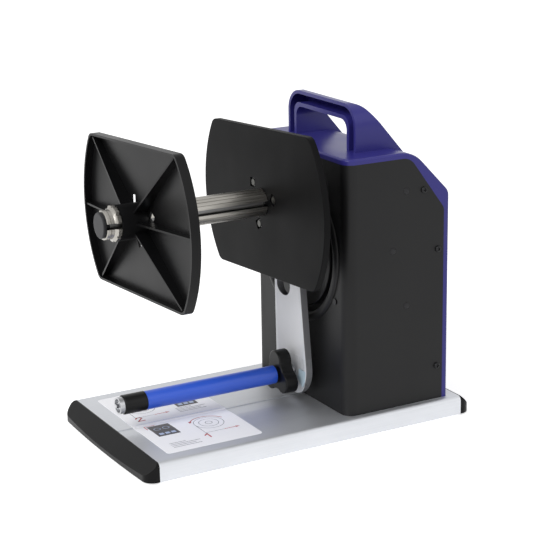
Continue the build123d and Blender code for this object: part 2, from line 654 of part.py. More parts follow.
def make_front_plate():
    def extra(plate):
        back = FRONT_PLATE + PLATE_THICKNESS
        plate += rod(back - BEARING_WIDTH, FRONT_PLATE + 1, BEARING_RADIUS + BOSS_WALL, 0, AXIS_Z)
        plate -= rod(back - BEARING_WIDTH - 1, back + 1, BEARING_RADIUS, 0, AXIS_Z)
        plate -= rod(FRONT_PLATE - 1, back + 1, ARM_SHAFT_RADIUS + RUN_FIT + BUSH_WALL, 0, PIVOT_Z)
        for y, z in pillar_places() + front_screw_places():
            plate -= rod(FRONT_PLATE - 1, back + 1, SMALL_SCREW_RADIUS + SCREW_FIT, y, z)
        for y, z in stop_pin_places():
            plate -= rod(FRONT_PLATE - 1, back + 1, STOP_PIN_RADIUS, y, z)
        return plate
    return make_plate(FRONT_PLATE, -1, extra)


def motor_screw_places():
    radius = MOTOR_SCREW_PCD / 2
    angles = [radians(a) for a in (45, 135, 225, 315)]
    return [(MOTOR_Y + radius * cos(a), MOTOR_Z + radius * sin(a)) for a in angles]


def make_rear_plate():
    def extra(plate):
        plate += rod(REAR_PLATE + 1, REAR_PLATE + BEARING_WIDTH, BEARING_RADIUS + BOSS_WALL, 0, AXIS_Z)
        plate -= rod(REAR_PLATE - 1, REAR_PLATE + BEARING_WIDTH + 1, BEARING_RADIUS, 0, AXIS_Z)
        plate -= rod(REAR_PLATE - 1, REAR_PLATE_BACK + 1, MOTOR_SHAFT_RADIUS * 2, MOTOR_Y, MOTOR_Z)
        for y, z in pillar_places() + motor_screw_places():
            plate -= rod(REAR_PLATE - 1, REAR_PLATE_BACK + 1, SMALL_SCREW_RADIUS + SCREW_FIT, y, z)
        return plate
    return make_plate(REAR_PLATE, 1, extra)


def make_pillars():
    x0 = FRONT_PLATE + PLATE_THICKNESS
    depth = 5.0
    pillars = []
    for y, z in pillar_places():
        pillar = rod(x0, REAR_PLATE, PILLAR_RADIUS, y, z)
        pillar -= rod(x0 - 1, x0 + depth, SMALL_SCREW_RADIUS + SCREW_FIT, y, z)
        pillar -= rod(REAR_PLATE - depth, REAR_PLATE + 1, SMALL_SCREW_RADIUS + SCREW_FIT, y, z)
        pillars.append(pillar)
    return group(pillars)


def make_pillar_screws():
    screws = []
    for y, z in pillar_places():
        screws.append(pan_screw(FRONT_PLATE, FRONT_PLATE + PLATE_THICKNESS + 4.0, SMALL_SCREW_RADIUS,
                                SMALL_HEAD_RADIUS, SMALL_HEAD_HEIGHT, y, z))
        screws.append(pan_screw(REAR_PLATE_BACK, REAR_PLATE - 4.0, SMALL_SCREW_RADIUS,
                                SMALL_HEAD_RADIUS, SMALL_HEAD_HEIGHT, y, z))
    return group(screws)


def make_bearings():
    """Two shielded ball bearings for the spindle."""
    bearings = []
    for x0 in (FRONT_PLATE - BEARING_WIDTH + PLATE_THICKNESS, REAR_PLATE):
        bearing = tube(x0, x0 + BEARING_WIDTH, BEARING_RADIUS, SHAFT_RADIUS, 0, AXIS_Z)
        for x in (x0 - 1, x0 + BEARING_WIDTH - 0.5):
            bearing -= tube(x, x + 1.5, BEARING_RADIUS - 2.4, SHAFT_RADIUS + 2.2, 0, AXIS_Z)
        bearings.append(bearing)
    return group(bearings)


def gear_outline(teeth):
    """Involute spur gear as a closed outline, a tooth centred on the first axis."""
    pitch = GEAR_MODULE * teeth / 2
    base = pitch * cos(radians(PRESSURE_ANGLE))
    tip = pitch + GEAR_MODULE
    root = pitch - 1.25 * GEAR_MODULE
    half = pi / (2 * teeth) - GEAR_BACKLASH / (2 * pitch)
    start = max(base, root)
    involute = tan(radians(PRESSURE_ANGLE)) - radians(PRESSURE_ANGLE)
    flank = []
    for step in range(5):
        r = start + (tip - start) * step / 4
        bend = acos(min(base / r, 1.0))
        flank.append((r, half + involute - (tan(bend) - bend)))
    if root < start - 0.01:
        flank.insert(0, (root, flank[0][1]))
    points = []
    for tooth in range(teeth):
        middle = 2 * pi * tooth / teeth
        for r, angle in flank:
            points.append((r * cos(middle - angle), r * sin(middle - angle)))
        for r, angle in reversed(flank):
            points.append((r * cos(middle + angle), r * sin(middle + angle)))
    return make_face(Polyline(*points, close=True))


def make_drive_gear():
    gear = along_x(gear_outline(GEAR_TEETH), GEAR_START, GEAR_START + GEAR_WIDTH)
    gear = Rot(MOTOR_DIRECTION, 0, 0) * gear
    hub = GEAR_START + GEAR_WIDTH + 3.0
    gear += rod(GEAR_START, hub, SHAFT_RADIUS + BOSS_WALL)
    web_radius = (GEAR_MODULE * GEAR_TEETH / 2 + SHAFT_RADIUS + BOSS_WALL) / 2
    for n in range(6):
        a = radians(60 * n)
        gear -= rod(GEAR_START - 1, GEAR_START + GEAR_WIDTH + 1, web_radius / 4,
                    web_radius * cos(a), web_radius * sin(a))
    gear -= rod(GEAR_START - 1, hub + 1, SHAFT_RADIUS)
    return Pos(0, 0, AXIS_Z) * gear


def make_pinion():
    pinion = along_x(gear_outline(PINION_TEETH), GEAR_START, GEAR_START + GEAR_WIDTH)
    pinion = Rot(MOTOR_DIRECTION + 180 + 180 / PINION_TEETH, 0, 0) * pinion
    pinion -= rod(GEAR_START - 1, GEAR_START + GEAR_WIDTH + 1, MOTOR_SHAFT_RADIUS)
    return Pos(0, MOTOR_Y, MOTOR_Z) * pinion


def make_motor():
    """Gear motor: gearbox case in front, motor can behind, terminals at the back."""
    split = REAR_PLATE_BACK + MOTOR_LENGTH * 0.4
    end = REAR_PLATE_BACK + MOTOR_LENGTH
    motor = rod(REAR_PLATE_BACK, split, MOTOR_RADIUS, MOTOR_Y, MOTOR_Z)
    motor += rod(split, end, MOTOR_RADIUS * 0.85, MOTOR_Y, MOTOR_Z)
    motor += rod(end, end + 3.0, MOTOR_RADIUS * 0.35, MOTOR_Y, MOTOR_Z)
    for side in (-1, 1):
        y = MOTOR_Y + side * MOTOR_RADIUS * 0.55
        motor += block(end - 1, end + 6, y - 1.6, y + 1.6, MOTOR_Z - 0.5, MOTOR_Z + 0.5)
    motor -= rod(REAR_PLATE_BACK - 1, REAR_PLATE_BACK + 12, MOTOR_SHAFT_RADIUS + RUN_FIT, MOTOR_Y, MOTOR_Z)
    for y, z in motor_screw_places():
        motor -= rod(REAR_PLATE_BACK - 1, REAR_PLATE_BACK + 6, SMALL_SCREW_RADIUS + SCREW_FIT, y, z)
    return motor


def make_side_brackets():
    """Angle brackets that tie the side walls to the rear bearing plate."""
    brackets = []
    low = AXIS_Z - BRACKET_BELOW_SPINDLE
    high = AXIS_Z + BRACKET_ABOVE_SPINDLE
    for side in (-1, 1):
        y0, y1 = sorted((side * INNER_HALF_WIDTH, side * (INNER_HALF_WIDTH - BRACKET_THICKNESS)))
        leg = block(REAR_PLATE_BACK, BRACKET_END, y0, y1, low, high)
        y0, y1 = sorted((side * INNER_HALF_WIDTH, side * (PLATE_HALF_WIDTH - BRACKET_LAP)))
        bracket = leg + block(REAR_PLATE_BACK, REAR_PLATE_BACK + BRACKET_THICKNESS, y0, y1,
                              low, AXIS_Z - BRACKET_FOLD_BELOW_SPINDLE)
        for x, z in rivet_places():
            bracket -= side_drill(x, z)
        brackets.append(bracket)
    return group(brackets)


# ---------------------------------------------------------------- spindle
def make_shaft():
    rear = REAR_PLATE + BEARING_WIDTH + 5.0
    shaft = rod(INNER_FACE - CORE_STEP, rear, SHAFT_RADIUS)
    shaft += rod(CORE_TIP + LOCK_STEM_LENGTH + FACE_GAP, INNER_FACE, CORE_SHAFT_RADIUS)
    shaft += rod(CORE_TIP + 0.6, CORE_TIP + LOCK_STEM_LENGTH + 1.0, LOCK_JOURNAL_RADIUS)
    return on_spindle(shaft)


def make_core_tube():
    """Sleeve with three lengthwise keyways that guide the shells."""
    x0 = CORE_TIP + LOCK_STEM_LENGTH + 2 * FACE_GAP
    x1 = INNER_FACE - CORE_STEP
    sleeve = tube(x0, x1, CORE_TUBE_RADIUS, CORE_SHAFT_RADIUS)
    floor = CORE_SHAFT_RADIUS + 0.6
    half = KEY_THICKNESS / 2 + SLIDE_FIT
    slot = block(x0 - 1, x1 + 1, floor, CORE_TUBE_RADIUS + 1, -half, half)
    for n in range(3):
        sleeve -= Rot(120 * n, 0, 0) * slot
    return on_spindle(sleeve)


def make_shell(index):
    """One of three core shells, with its key inside and its claw at the tip."""
    inner = CORE_RADIUS - SHELL_THICKNESS
    x0 = CORE_TIP
    x1 = INNER_FACE - FACE_GAP
    claw_end = x0 + CLAW_LENGTH
    shell = rod(claw_end - 1, x1, CORE_RADIUS)
    shell += rod(x0, claw_end, CLAW_WAIST_RADIUS)
    shell += rod(x0, x0 + CLAW_LIP, CLAW_RADIUS)
    collar = rod(claw_end - CLAW_LIP, claw_end, CLAW_RADIUS)
    for n in range(9):
        a = radians(40 * n + 20)
        y = (CLAW_RADIUS + CLAW_SCALLOP / 2) * cos(a)
        z = (CLAW_RADIUS + CLAW_SCALLOP / 2) * sin(a)
        collar -= rod(claw_end - CLAW_LIP - 1, claw_end + 1, CLAW_SCALLOP, y, z)
    shell += collar
    shell -= rod(x0 - 1, x1 + 1, inner)
    reach = CLAW_RADIUS + 5
    half_plane = block(x0 - 1, x1 + 1, SHELL_GAP / 2, reach, -reach, reach)
    shell = shell & (Rot(30, 0, 0) * half_plane)
    shell = shell & (Rot(-30, 0, 0) * half_plane)
    half = SHELL_GROOVE / 2
    for a in (-20, 20):
        groove = block(claw_end + 1, x1 + 1, CORE_RADIUS - SHELL_GROOVE, CORE_RADIUS + 2, -half, half)
        shell -= Rot(a, 0, 0) * groove
    key_low = CORE_TUBE_RADIUS - FACE_GAP
    half = KEY_THICKNESS / 2
    key_end = INNER_FACE - CORE_STEP - FACE_GAP
    shell += block(x0 + LOCK_STEM_LENGTH + 2.0, key_end, key_low, inner + 1, -half, half)
    return on_spindle(Rot(120 * index, 0, 0) * shell)


def make_lock_knob():
    x0 = CORE_TIP - FACE_GAP
    disc = rod(x0 - LOCK_KNOB_THICKNESS, x0, LOCK_KNOB_RADIUS)
    disc = fillet(disc.edges().group_by(Axis.X)[0], 1.0)
    knob = disc + rod(x0 - 0.5, CORE_TIP + LOCK_STEM_LENGTH, CORE_RADIUS - SHELL_THICKNESS - SHELL_TRAVEL - 0.4)
    knob -= rod(x0 + FACE_GAP, CORE_TIP + LOCK_STEM_LENGTH + 1, LOCK_JOURNAL_RADIUS + RUN_FIT)
    return on_spindle(knob)


def flange_sketch(shrink=0.0):
    """Circle cut by two level flats, with rounded corners."""
    radius = FLANGE_RADIUS - shrink
    half = FLANGE_HALF_HEIGHT - shrink
    face = Circle(radius) & Rectangle(3 * radius, 2 * half)
    return fillet(face.vertices(), FLANGE_CORNER_RADIUS - shrink / 2)


def flange_windows(x0, x1):
    windows = []
    for n in range(3):
        a = FLANGE_WINDOW_ANGLE + 120 * n
        square = Rot(0, 0, 45) * Rectangle(FLANGE_WINDOW, FLANGE_WINDOW)
        hole = along_x(square, x0, x1, FLANGE_WINDOW_PCD / 2, 0)
        windows.append(Rot(a, 0, 0) * hole)
    return windows


def make_flange(face_x, direction, rim_depth, hub_length, hub_radius, bore, rib_height):
    """Dished flange: flat face at face_x, rim, ribs and hub standing out along direction."""
    def span(a, b):
        return (face_x + direction * a, face_x + direction * b)

    plate = along_x(flange_sketch(), *span(0, rim_depth))
    inner = flange_sketch(FLANGE_RIM_WALL)
    plate -= along_x(inner, *span(FLANGE_PLATE, rim_depth + 1))
    ring_edges = [e for e in plate.edges() if abs(e.center().X - face_x) < 0.01]
    plate = fillet(ring_edges, 0.8)

    if rib_height:
        corner_y = (FLANGE_RADIUS ** 2 - FLANGE_HALF_HEIGHT ** 2) ** 0.5
        corner_angle = degrees(atan(FLANGE_HALF_HEIGHT / corner_y))
        corner_reach = FLANGE_RADIUS - FLANGE_CORNER_RADIUS * 0.4 - FLANGE_RIM_WALL
        for angle in (corner_angle, 180 - corner_angle, 180 + corner_angle, -corner_angle, 0, 180):
            reach = FLANGE_RADIUS - FLANGE_RIM_WALL if angle in (0, 180) else corner_reach
            half = FLANGE_RIB / 2
            low = face_x + direction * 1.0
            outline = Polyline((low, hub_radius - 2), (face_x + direction * rib_height, hub_radius - 2),
                               (face_x + direction * (rim_depth - 1), reach), (low, reach), close=True)
            rib = extrude(make_face(outline), amount=half, both=True)
            plate += Rot(angle, 0, 0) * rib
    plate += rod(*sorted(span(0, hub_length)), hub_radius)
    plate -= rod(*sorted(span(-1, hub_length + 1)), bore)
    for window in flange_windows(*span(-1, FLANGE_PLATE + 1)):
        plate -= window
    return on_spindle(plate)


def make_outer_flange():
    bore = CORE_RADIUS + CORE_FIT
    return make_flange(OUTER_FACE, -1, OUTER_RIM_DEPTH, FLANGE_HUB_LENGTH, FLANGE_HUB_RADIUS, bore,
                       FLANGE_RIB_HEIGHT)


def make_inner_flange():
    bore = SHAFT_RADIUS + SCREW_FIT
    return make_flange(INNER_FACE, 1, INNER_RIM_DEPTH, FLANGE_PLATE, SHAFT_RADIUS + 3, bore, 0)


def flange_screw_places():
    radius = FLANGE_WINDOW_PCD / 2
    angles = [radians(FLANGE_WINDOW_ANGLE + 120 * n) for n in range(3)]
    return [(radius * cos(a), radius * sin(a)) for a in angles]


def make_hub_disc():
    """Metal disc that carries the inner flange on the shaft."""
    x0 = INNER_FACE + FLANGE_PLATE
    disc = rod(x0, x0 + HUB_DISC_THICKNESS, HUB_DISC_RADIUS)
    disc += rod(x0, x0 + HUB_DISC_THICKNESS + HUB_DISC_BOSS, SHAFT_RADIUS + BOSS_WALL)
    disc -= rod(x0 - 1, x0 + HUB_DISC_THICKNESS + HUB_DISC_BOSS + 1, SHAFT_RADIUS)
    for y, z in flange_screw_places():
        disc -= rod(x0 - 1, x0 + HUB_DISC_THICKNESS + 1, SMALL_SCREW_RADIUS + SCREW_FIT, y, z)
    return on_spindle(disc)


def make_flange_screws():
    x0 = INNER_FACE + FLANGE_PLATE
    return group([on_spindle(pan_screw(x0, x0 + HUB_DISC_THICKNESS, SMALL_SCREW_RADIUS, SMALL_HEAD_RADIUS,
                                       SMALL_HEAD_HEIGHT - 0.2, y, z)) for y, z in flange_screw_places()])


def make_spacer():
    x0 = INNER_FACE + FLANGE_PLATE + HUB_DISC_THICKNESS + HUB_DISC_BOSS
    x1 = FRONT_PLATE - BEARING_WIDTH + PLATE_THICKNESS
    return on_spindle(tube(x0, x1, SHAFT_RADIUS + 2.0, SHAFT_RADIUS))


def make_collar():
    x0 = REAR_PLATE + BEARING_WIDTH
    return on_spindle(tube(x0, x0 + 4.0, SHAFT_RADIUS + 3.0, SHAFT_RADIUS))


# ---------------------------------------------------------------- tension arm
def arm_sketch():
    """Tapered arm with round ends, hanging below the pivot at the origin."""
    low = -ARM_LENGTH + ARM_END_DROP
    rise = asin((ARM_END_RADIUS - ARM_TOP_RADIUS) / -low)
    face = Circle(ARM_TOP_RADIUS) + Pos(0, low) * Circle(ARM_END_RADIUS)
    sides = make_face(Polyline(
        (ARM_TOP_RADIUS * cos(rise), -ARM_TOP_RADIUS * sin(-rise)),
        (ARM_END_RADIUS * cos(rise), low - ARM_END_RADIUS * sin(-rise)),
        (-ARM_END_RADIUS * cos(rise), low - ARM_END_RADIUS * sin(-rise)),
        (-ARM_TOP_RADIUS * cos(rise), -ARM_TOP_RADIUS * sin(-rise)), close=True))
    return face + sides


def arm_blank():
    blank = along_x(arm_sketch(), ARM_FACE, ARM_BACK)
    blank = fillet(blank.edges().group_by(Axis.X)[0], 0.8)
    half = ARM_SCOOP_WIDTH / 2
    radius = (half ** 2 + ARM_SCOOP_DEPTH ** 2) / (2 * ARM_SCOOP_DEPTH)
    low = ARM_LENGTH - ARM_END_DROP
    scoop = Pos(0, 0, -low / 2) * Cylinder(radius, low * 1.6)
    scoop = Pos(ARM_FACE - radius + ARM_SCOOP_DEPTH, 0, 0) * Rot(0, -ARM_SCOOP_TILT, 0) * scoop
    blank -= scoop
    blank -= rod(ARM_FACE - 1, ARM_BACK + 1, ARM_HOLE_RADIUS, ARM_HOLE_OFFSET, -ARM_HOLE_BELOW_PIVOT)
    return blank


def arm_seam(upper):
    seam = -ARM_LENGTH + ARM_SEAM_ABOVE_ROLLER
    reach = 2 * ARM_LENGTH
    if upper:
        return block(ARM_FACE - 1, ARM_BACK + 1, -reach, reach, seam, reach)
    return block(ARM_FACE - 1, ARM_BACK + 1, -reach, reach, -reach, seam)


def make_arm():
    arm = arm_blank() & arm_seam(True)
    arm -= rod(ARM_FACE - 1, ARM_BACK + 1, SMALL_SCREW_RADIUS + SCREW_FIT)
    arm -= rod(ARM_FACE - 1, ARM_FACE + ARM_SCREW_SINK, ARM_SCREW_HEAD + SCREW_FIT)
    return on_arm(arm)


def make_arm_end():
    end = arm_blank() & arm_seam(False)
    end -= rod(ARM_FACE - 1, ARM_BACK + 1, AXLE_RADIUS, 0, -ARM_LENGTH)
    return on_arm(end)


def make_arm_shaft():
    """Pivot shaft with the boss that carries the arm."""
    end = FRONT_PLATE + PLATE_THICKNESS + 6.0
    shaft = rod(ARM_BACK, DISC_FACE - FACE_GAP, ARM_BOSS_RADIUS)
    shaft += rod(ARM_BACK, end, ARM_SHAFT_RADIUS)
    shaft -= rod(ARM_BACK - 1, ARM_BACK + 10, SMALL_SCREW_RADIUS + SCREW_FIT)
    return on_arm(shaft)


def make_arm_screw():
    seat = ARM_FACE + ARM_SCREW_SINK
    return on_arm(pan_screw(seat, ARM_BACK + 8, SMALL_SCREW_RADIUS, ARM_SCREW_HEAD, SMALL_HEAD_HEIGHT, 0, 0))


def stop_pin_places():
    spread = ARM_SWING + degrees(asin((STOP_PIN_RADIUS + STOP_FINGER_HALF + FACE_GAP) / STOP_REACH))
    return [(side * STOP_REACH * sin(radians(spread)), PIVOT_Z - STOP_REACH * cos(radians(spread)))
            for side in (-1, 1)]


def make_stop_finger():
    x0 = FRONT_PLATE + PLATE_THICKNESS + FACE_GAP
    finger = rod(x0, x0 + 4.0, ARM_SHAFT_RADIUS + 3.0)
    finger += block(x0, x0 + 4.0, -STOP_FINGER_HALF, STOP_FINGER_HALF, -STOP_REACH - STOP_PIN_RADIUS, 0)
    finger -= rod(x0 - 1, x0 + 5, ARM_SHAFT_RADIUS)
    return on_arm(finger)


def make_arm_spring():
    """Torsion spring coiled round the pivot shaft behind the front disc."""
    pitch = SPRING_WIRE + 0.15
    radius = ARM_SHAFT_RADIUS + 0.4 + SPRING_WIRE / 2
    helix = Helix(pitch, pitch * SPRING_TURNS, radius)
    section = Plane(helix @ 0, z_dir=helix % 0) * Circle(SPRING_WIRE / 2)
    coil = sweep(section, path=helix, is_frenet=True)
    start = FRONT_PLATE - pitch * SPRING_TURNS - SPRING_WIRE / 2 - 0.1
    return Pos(start, 0, PIVOT_Z) * Rot(0, 90, 0) * coil


def make_front_disc():
    disc = rod(DISC_FACE, DISC_BACK, DISC_RADIUS, 0, PIVOT_Z)
    disc = fillet(disc.edges().group_by(Axis.X)[0], 0.8)
    disc -= rod(DISC_FACE - 1, DISC_BACK + 1, PASSAGE_RADIUS + SLIDE_FIT, 0, AXIS_Z)
    disc -= rod(DISC_FACE - 1, DISC_BACK + 1, ARM_SHAFT_RADIUS + RUN_FIT + BUSH_WALL, 0, PIVOT_Z)
    for y, z in disc_screw_places():
        disc -= rod(DISC_BACK - 3.0, DISC_BACK + 1, SMALL_SCREW_RADIUS + SCREW_FIT, y, z)
    return disc


def make_arm_bushes():
    """Plain bushes for the pivot shaft, in the front disc and in the front plate."""
    bore = ARM_SHAFT_RADIUS + RUN_FIT
    outer = tube(DISC_FACE, DISC_BACK, bore + BUSH_WALL, bore, 0, PIVOT_Z)
    inner = tube(FRONT_PLATE, FRONT_PLATE + PLATE_THICKNESS, bore + BUSH_WALL, bore, 0, PIVOT_Z)
    return group([outer, inner])


def make_sensor():
    """Angle sensor on the rear plate, facing the end of the pivot shaft."""
    x0 = FRONT_PLATE + PLATE_THICKNESS + 6.0 + FACE_GAP
    sensor = rod(x0, REAR_PLATE, ARM_SHAFT_RADIUS + 3.0, 0, PIVOT_Z)
    sensor += block(REAR_PLATE - 4.0, REAR_PLATE, -11.0, 11.0, PIVOT_Z - 9.0, PIVOT_Z + 9.0)
    return sensor


# ---------------------------------------------------------------- guide roller
def at_roller(shape):
    return Pos(0, ROLLER_Y, ROLLER_Z) * shape


def make_axle():
    axle = rod(ARM_BACK, AXLE_TIP, AXLE_RADIUS)
    axle += rod(AXLE_TIP + 0.5, AXLE_TIP - AXLE_TIP_LENGTH, AXLE_TIP_RADIUS)
    return at_roller(axle)


def make_roller_ring():
    """Bright retaining ring at the free end of the axle."""
    ring = tube(ROLLER_TIP - FACE_GAP, AXLE_TIP - 1.2, RING_RADIUS, AXLE_RADIUS)
    return at_roller(ring - rod(AXLE_TIP - 2, AXLE_TIP + 0.8, RING_RADIUS - 1.4))


def make_roller_tube():
    return at_roller(tube(ROLLER_END, ROLLER_START, ROLLER_RADIUS, ROLLER_BORE))


def make_roller_bearings():
    """Plastic inserts that carry the tube on the axle."""
    outer = ROLLER_BORE
    left = tube(ROLLER_END, ROLLER_END + 12.0, outer, AXLE_RADIUS + RUN_FIT)
    right = tube(ROLLER_START - 12.0, ROLLER_START, outer, AXLE_RADIUS + RUN_FIT)
    return group([at_roller(left), at_roller(right)])


def make_roller_end():
    end = tube(ROLLER_TIP, ROLLER_END, ROLLER_END_RADIUS, AXLE_RADIUS + RUN_FIT)
    outer = [e for e in end.edges() if abs(e.length - 2 * pi * ROLLER_END_RADIUS) < 0.1]
    return at_roller(chamfer(outer, 0.5))


def make_knob_spacer():
    return at_roller(tube(KNOB_BACK + FACE_GAP, ARM_FACE, AXLE_RADIUS + 4.0, AXLE_RADIUS))


def make_knob():
    """Three-lobed clamping knob on the axle."""
    sketch = Circle(KNOB_HUB_RADIUS)
    for a in (90, 210, 330):
        place = Pos(KNOB_LOBE_OFFSET * cos(radians(a)), KNOB_LOBE_OFFSET * sin(radians(a)))
        sketch += place * Circle(KNOB_LOBE_RADIUS)
    sketch = fillet(sketch.vertices(), 5.0)
    knob = along_x(sketch, KNOB_FACE, KNOB_BACK)
    rims = knob.edges().group_by(Axis.X)
    knob = fillet(rims[0] + rims[-1], 1.2)
    knob -= rod(KNOB_FACE - 1, KNOB_BACK + 1, AXLE_RADIUS + RUN_FIT)
    return at_roller(Rot(-ARM_LEAN, 0, 0) * knob)


# ---------------------------------------------------------------- rear panel and electronics
def make_inlet():
    z = DECK + SWITCH_HEIGHT
    inlet = rod(HOUSING_BACK - INLET_DEPTH, HOUSING_BACK, INLET_RADIUS, INLET_Y, z)
    inlet += rod(HOUSING_BACK, HOUSING_BACK + 1.5, INLET_FLANGE_RADIUS, INLET_Y, z)
    inlet -= rod(HOUSING_BACK - INLET_DEPTH + 2.5, HOUSING_BACK + 2, INLET_BORE, INLET_Y, z)
    inlet += rod(HOUSING_BACK - INLET_DEPTH + 2, HOUSING_BACK - 1, 1.0, INLET_Y, z)
    return inlet


def rocker_pin(grow=0.0, longer=0.0):
    """Pivot of the rocker along Y, sunk half way into the switch's side walls."""
    half = SWITCH_WIDTH / 2 - SWITCH_WALL / 2 + longer
    pin = Rot(90, 0, 0) * Cylinder(ROCKER_PIN_RADIUS + grow, 2 * half)
    return Pos(HOUSING_BACK - ROCKER_SINK, SWITCH_Y, DECK + SWITCH_HEIGHT) * pin


def make_switch():
    z = DECK + SWITCH_HEIGHT
    half_w = SWITCH_WIDTH / 2
    half_l = SWITCH_LENGTH / 2
    back = HOUSING_BACK - SWITCH_BODY_DEPTH

    def layer(x0, x1, grow):
        w = half_w + grow
        h = half_l + grow
        return block(x0, x1, SWITCH_Y - w, SWITCH_Y + w, z - h, z + h)

    body = layer(back, HOUSING_BACK, 0) + layer(HOUSING_BACK, HOUSING_BACK + SWITCH_BEZEL_THICKNESS, SWITCH_BEZEL)
    body -= layer(back + 4, HOUSING_BACK + 3, -SWITCH_WALL)
    return body - rocker_pin(RUN_FIT, 2 * SLIDE_FIT)


def make_rocker():
    """Rocker, tipped to its off side, turning on a line along Y."""
    z = DECK + SWITCH_HEIGHT
    pivot_x = HOUSING_BACK - ROCKER_SINK
    half_l = SWITCH_LENGTH / 2 - 2.4
    half_w = SWITCH_WIDTH / 2 - SWITCH_WALL - SLIDE_FIT
    nose = 5.0
    outline = Polyline((-4.0, -3.0), (nose - 0.6, -half_l), (nose - 2.0, 0), (nose - 0.6, half_l), (-4.0, 3.0),
                       close=True)
    rocker = extrude(Plane.XZ * make_face(outline), amount=half_w, both=True)
    return Pos(pivot_x, SWITCH_Y, z) * Rot(0, ROCKER_TILT, 0) * rocker + rocker_pin()


def board_place():
    x0 = REAR_PLATE_BACK + PLATE_FOOT + 3.0
    return x0, x0 + BOARD_LENGTH * 0.7, DECK + BOARD_HEIGHT


def board_corners():
    x0, x1, _ = board_place()
    half = BOARD_WIDTH / 2 - 4
    return [(x, side * half) for x in (x0 + 4, x1 - 4) for side in (-1, 1)]


def make_board():
    """Control board with its larger components."""
    x0, x1, z = board_place()
    top = z + BOARD_THICKNESS
    half = BOARD_WIDTH / 2
    board = block(x0, x1, -half, half, z, top)
    board += block(x0 + 8, x0 + 18, -20, -6, top, top + 3)
    board += block(x0 + 6, x0 + 14, 8, 30, top, top + 9)
    for y in (-34, -27):
        board += upright(x0 + 14, y, top, top + 12, 3.2)
    board += block(x1 - 9, x1 - 3, -18, 22, top, top + 7)
    for x, y in board_corners():
        board -= upright(x, y, z - 1, top + 1, SMALL_SCREW_RADIUS + SCREW_FIT)
    return board


def make_standoffs():
    _, _, z = board_place()
    return group([upright(x, y, DECK, z, 3.0) for x, y in board_corners()])


def make_board_screws():
    _, _, z = board_place()
    top = z + BOARD_THICKNESS
    head_top = top + SMALL_HEAD_HEIGHT
    return group([upright(x, y, z, top, SMALL_SCREW_RADIUS) + upright(x, y, top, head_top, SMALL_HEAD_RADIUS)
                  for x, y in board_corners()])


def deck_bolt(x, y, seat):
    shank = upright(x, y, DECK - BASE_WALL, seat, BOLT_RADIUS)
    return shank + upright(x, y, seat, seat + BOLT_HEAD_HEIGHT, BOLT_HEAD_RADIUS)


# ---------------------------------------------------------------- pieces that are simple or repeated
def make_cover_screws():
    return group([side_screw(side, x, z, COVER_SCREW_REACH) for side in (-1, 1) for x, z in cover_screw_places()])


def make_side_rivets():
    reach = HOUSING_WALL + BRACKET_THICKNESS - RIVET_SINK
    return group([side_screw(side, x, z, reach, RIVET_SINK) for side in (-1, 1) for x, z in rivet_places()])


def make_disc_screws():
    return group([pan_screw(SEAT_BACK, DISC_BACK - 2.5, SMALL_SCREW_RADIUS, SMALL_HEAD_RADIUS,
                            SMALL_HEAD_HEIGHT, y, z) for y, z in disc_screw_places()])


def make_front_screws():
    tip = HOUSING_FRONT + HOUSING_WALL + FRONT_SCREW_REACH
    return group([pan_screw(HOUSING_FRONT, tip, SMALL_SCREW_RADIUS, SMALL_HEAD_RADIUS, 0.8, y, z)
                  for y, z in front_screw_places()])


def make_front_posts():
    return group([tube(HOUSING_FRONT + HOUSING_WALL, FRONT_PLATE, FRONT_POST_RADIUS,
                       SMALL_SCREW_RADIUS + SCREW_FIT, y, z)
                  for y, z in front_screw_places()])


def make_housing_bolts():
    return group([deck_bolt(x, y, DECK + HOUSING_WALL) for x, y in housing_bolt_places()])


def make_chassis_bolts():
    return group([deck_bolt(x, y, DECK + PLATE_THICKNESS) for x, y in plate_bolt_places()])


def make_motor_screws():
    return group([pan_screw(REAR_PLATE, REAR_PLATE_BACK + 5, SMALL_SCREW_RADIUS, SMALL_HEAD_RADIUS,
                            SMALL_HEAD_HEIGHT, y, z) for y, z in motor_screw_places()])


def make_stop_pins():
    return group([rod(FRONT_PLATE, FRONT_PLATE + PLATE_THICKNESS + 5, STOP_PIN_RADIUS, y, z)
                  for y, z in stop_pin_places()])


def make_motor_shaft():
    return rod(GEAR_START - 1, REAR_PLATE_BACK + 11, MOTOR_SHAFT_RADIUS, MOTOR_Y, MOTOR_Z)


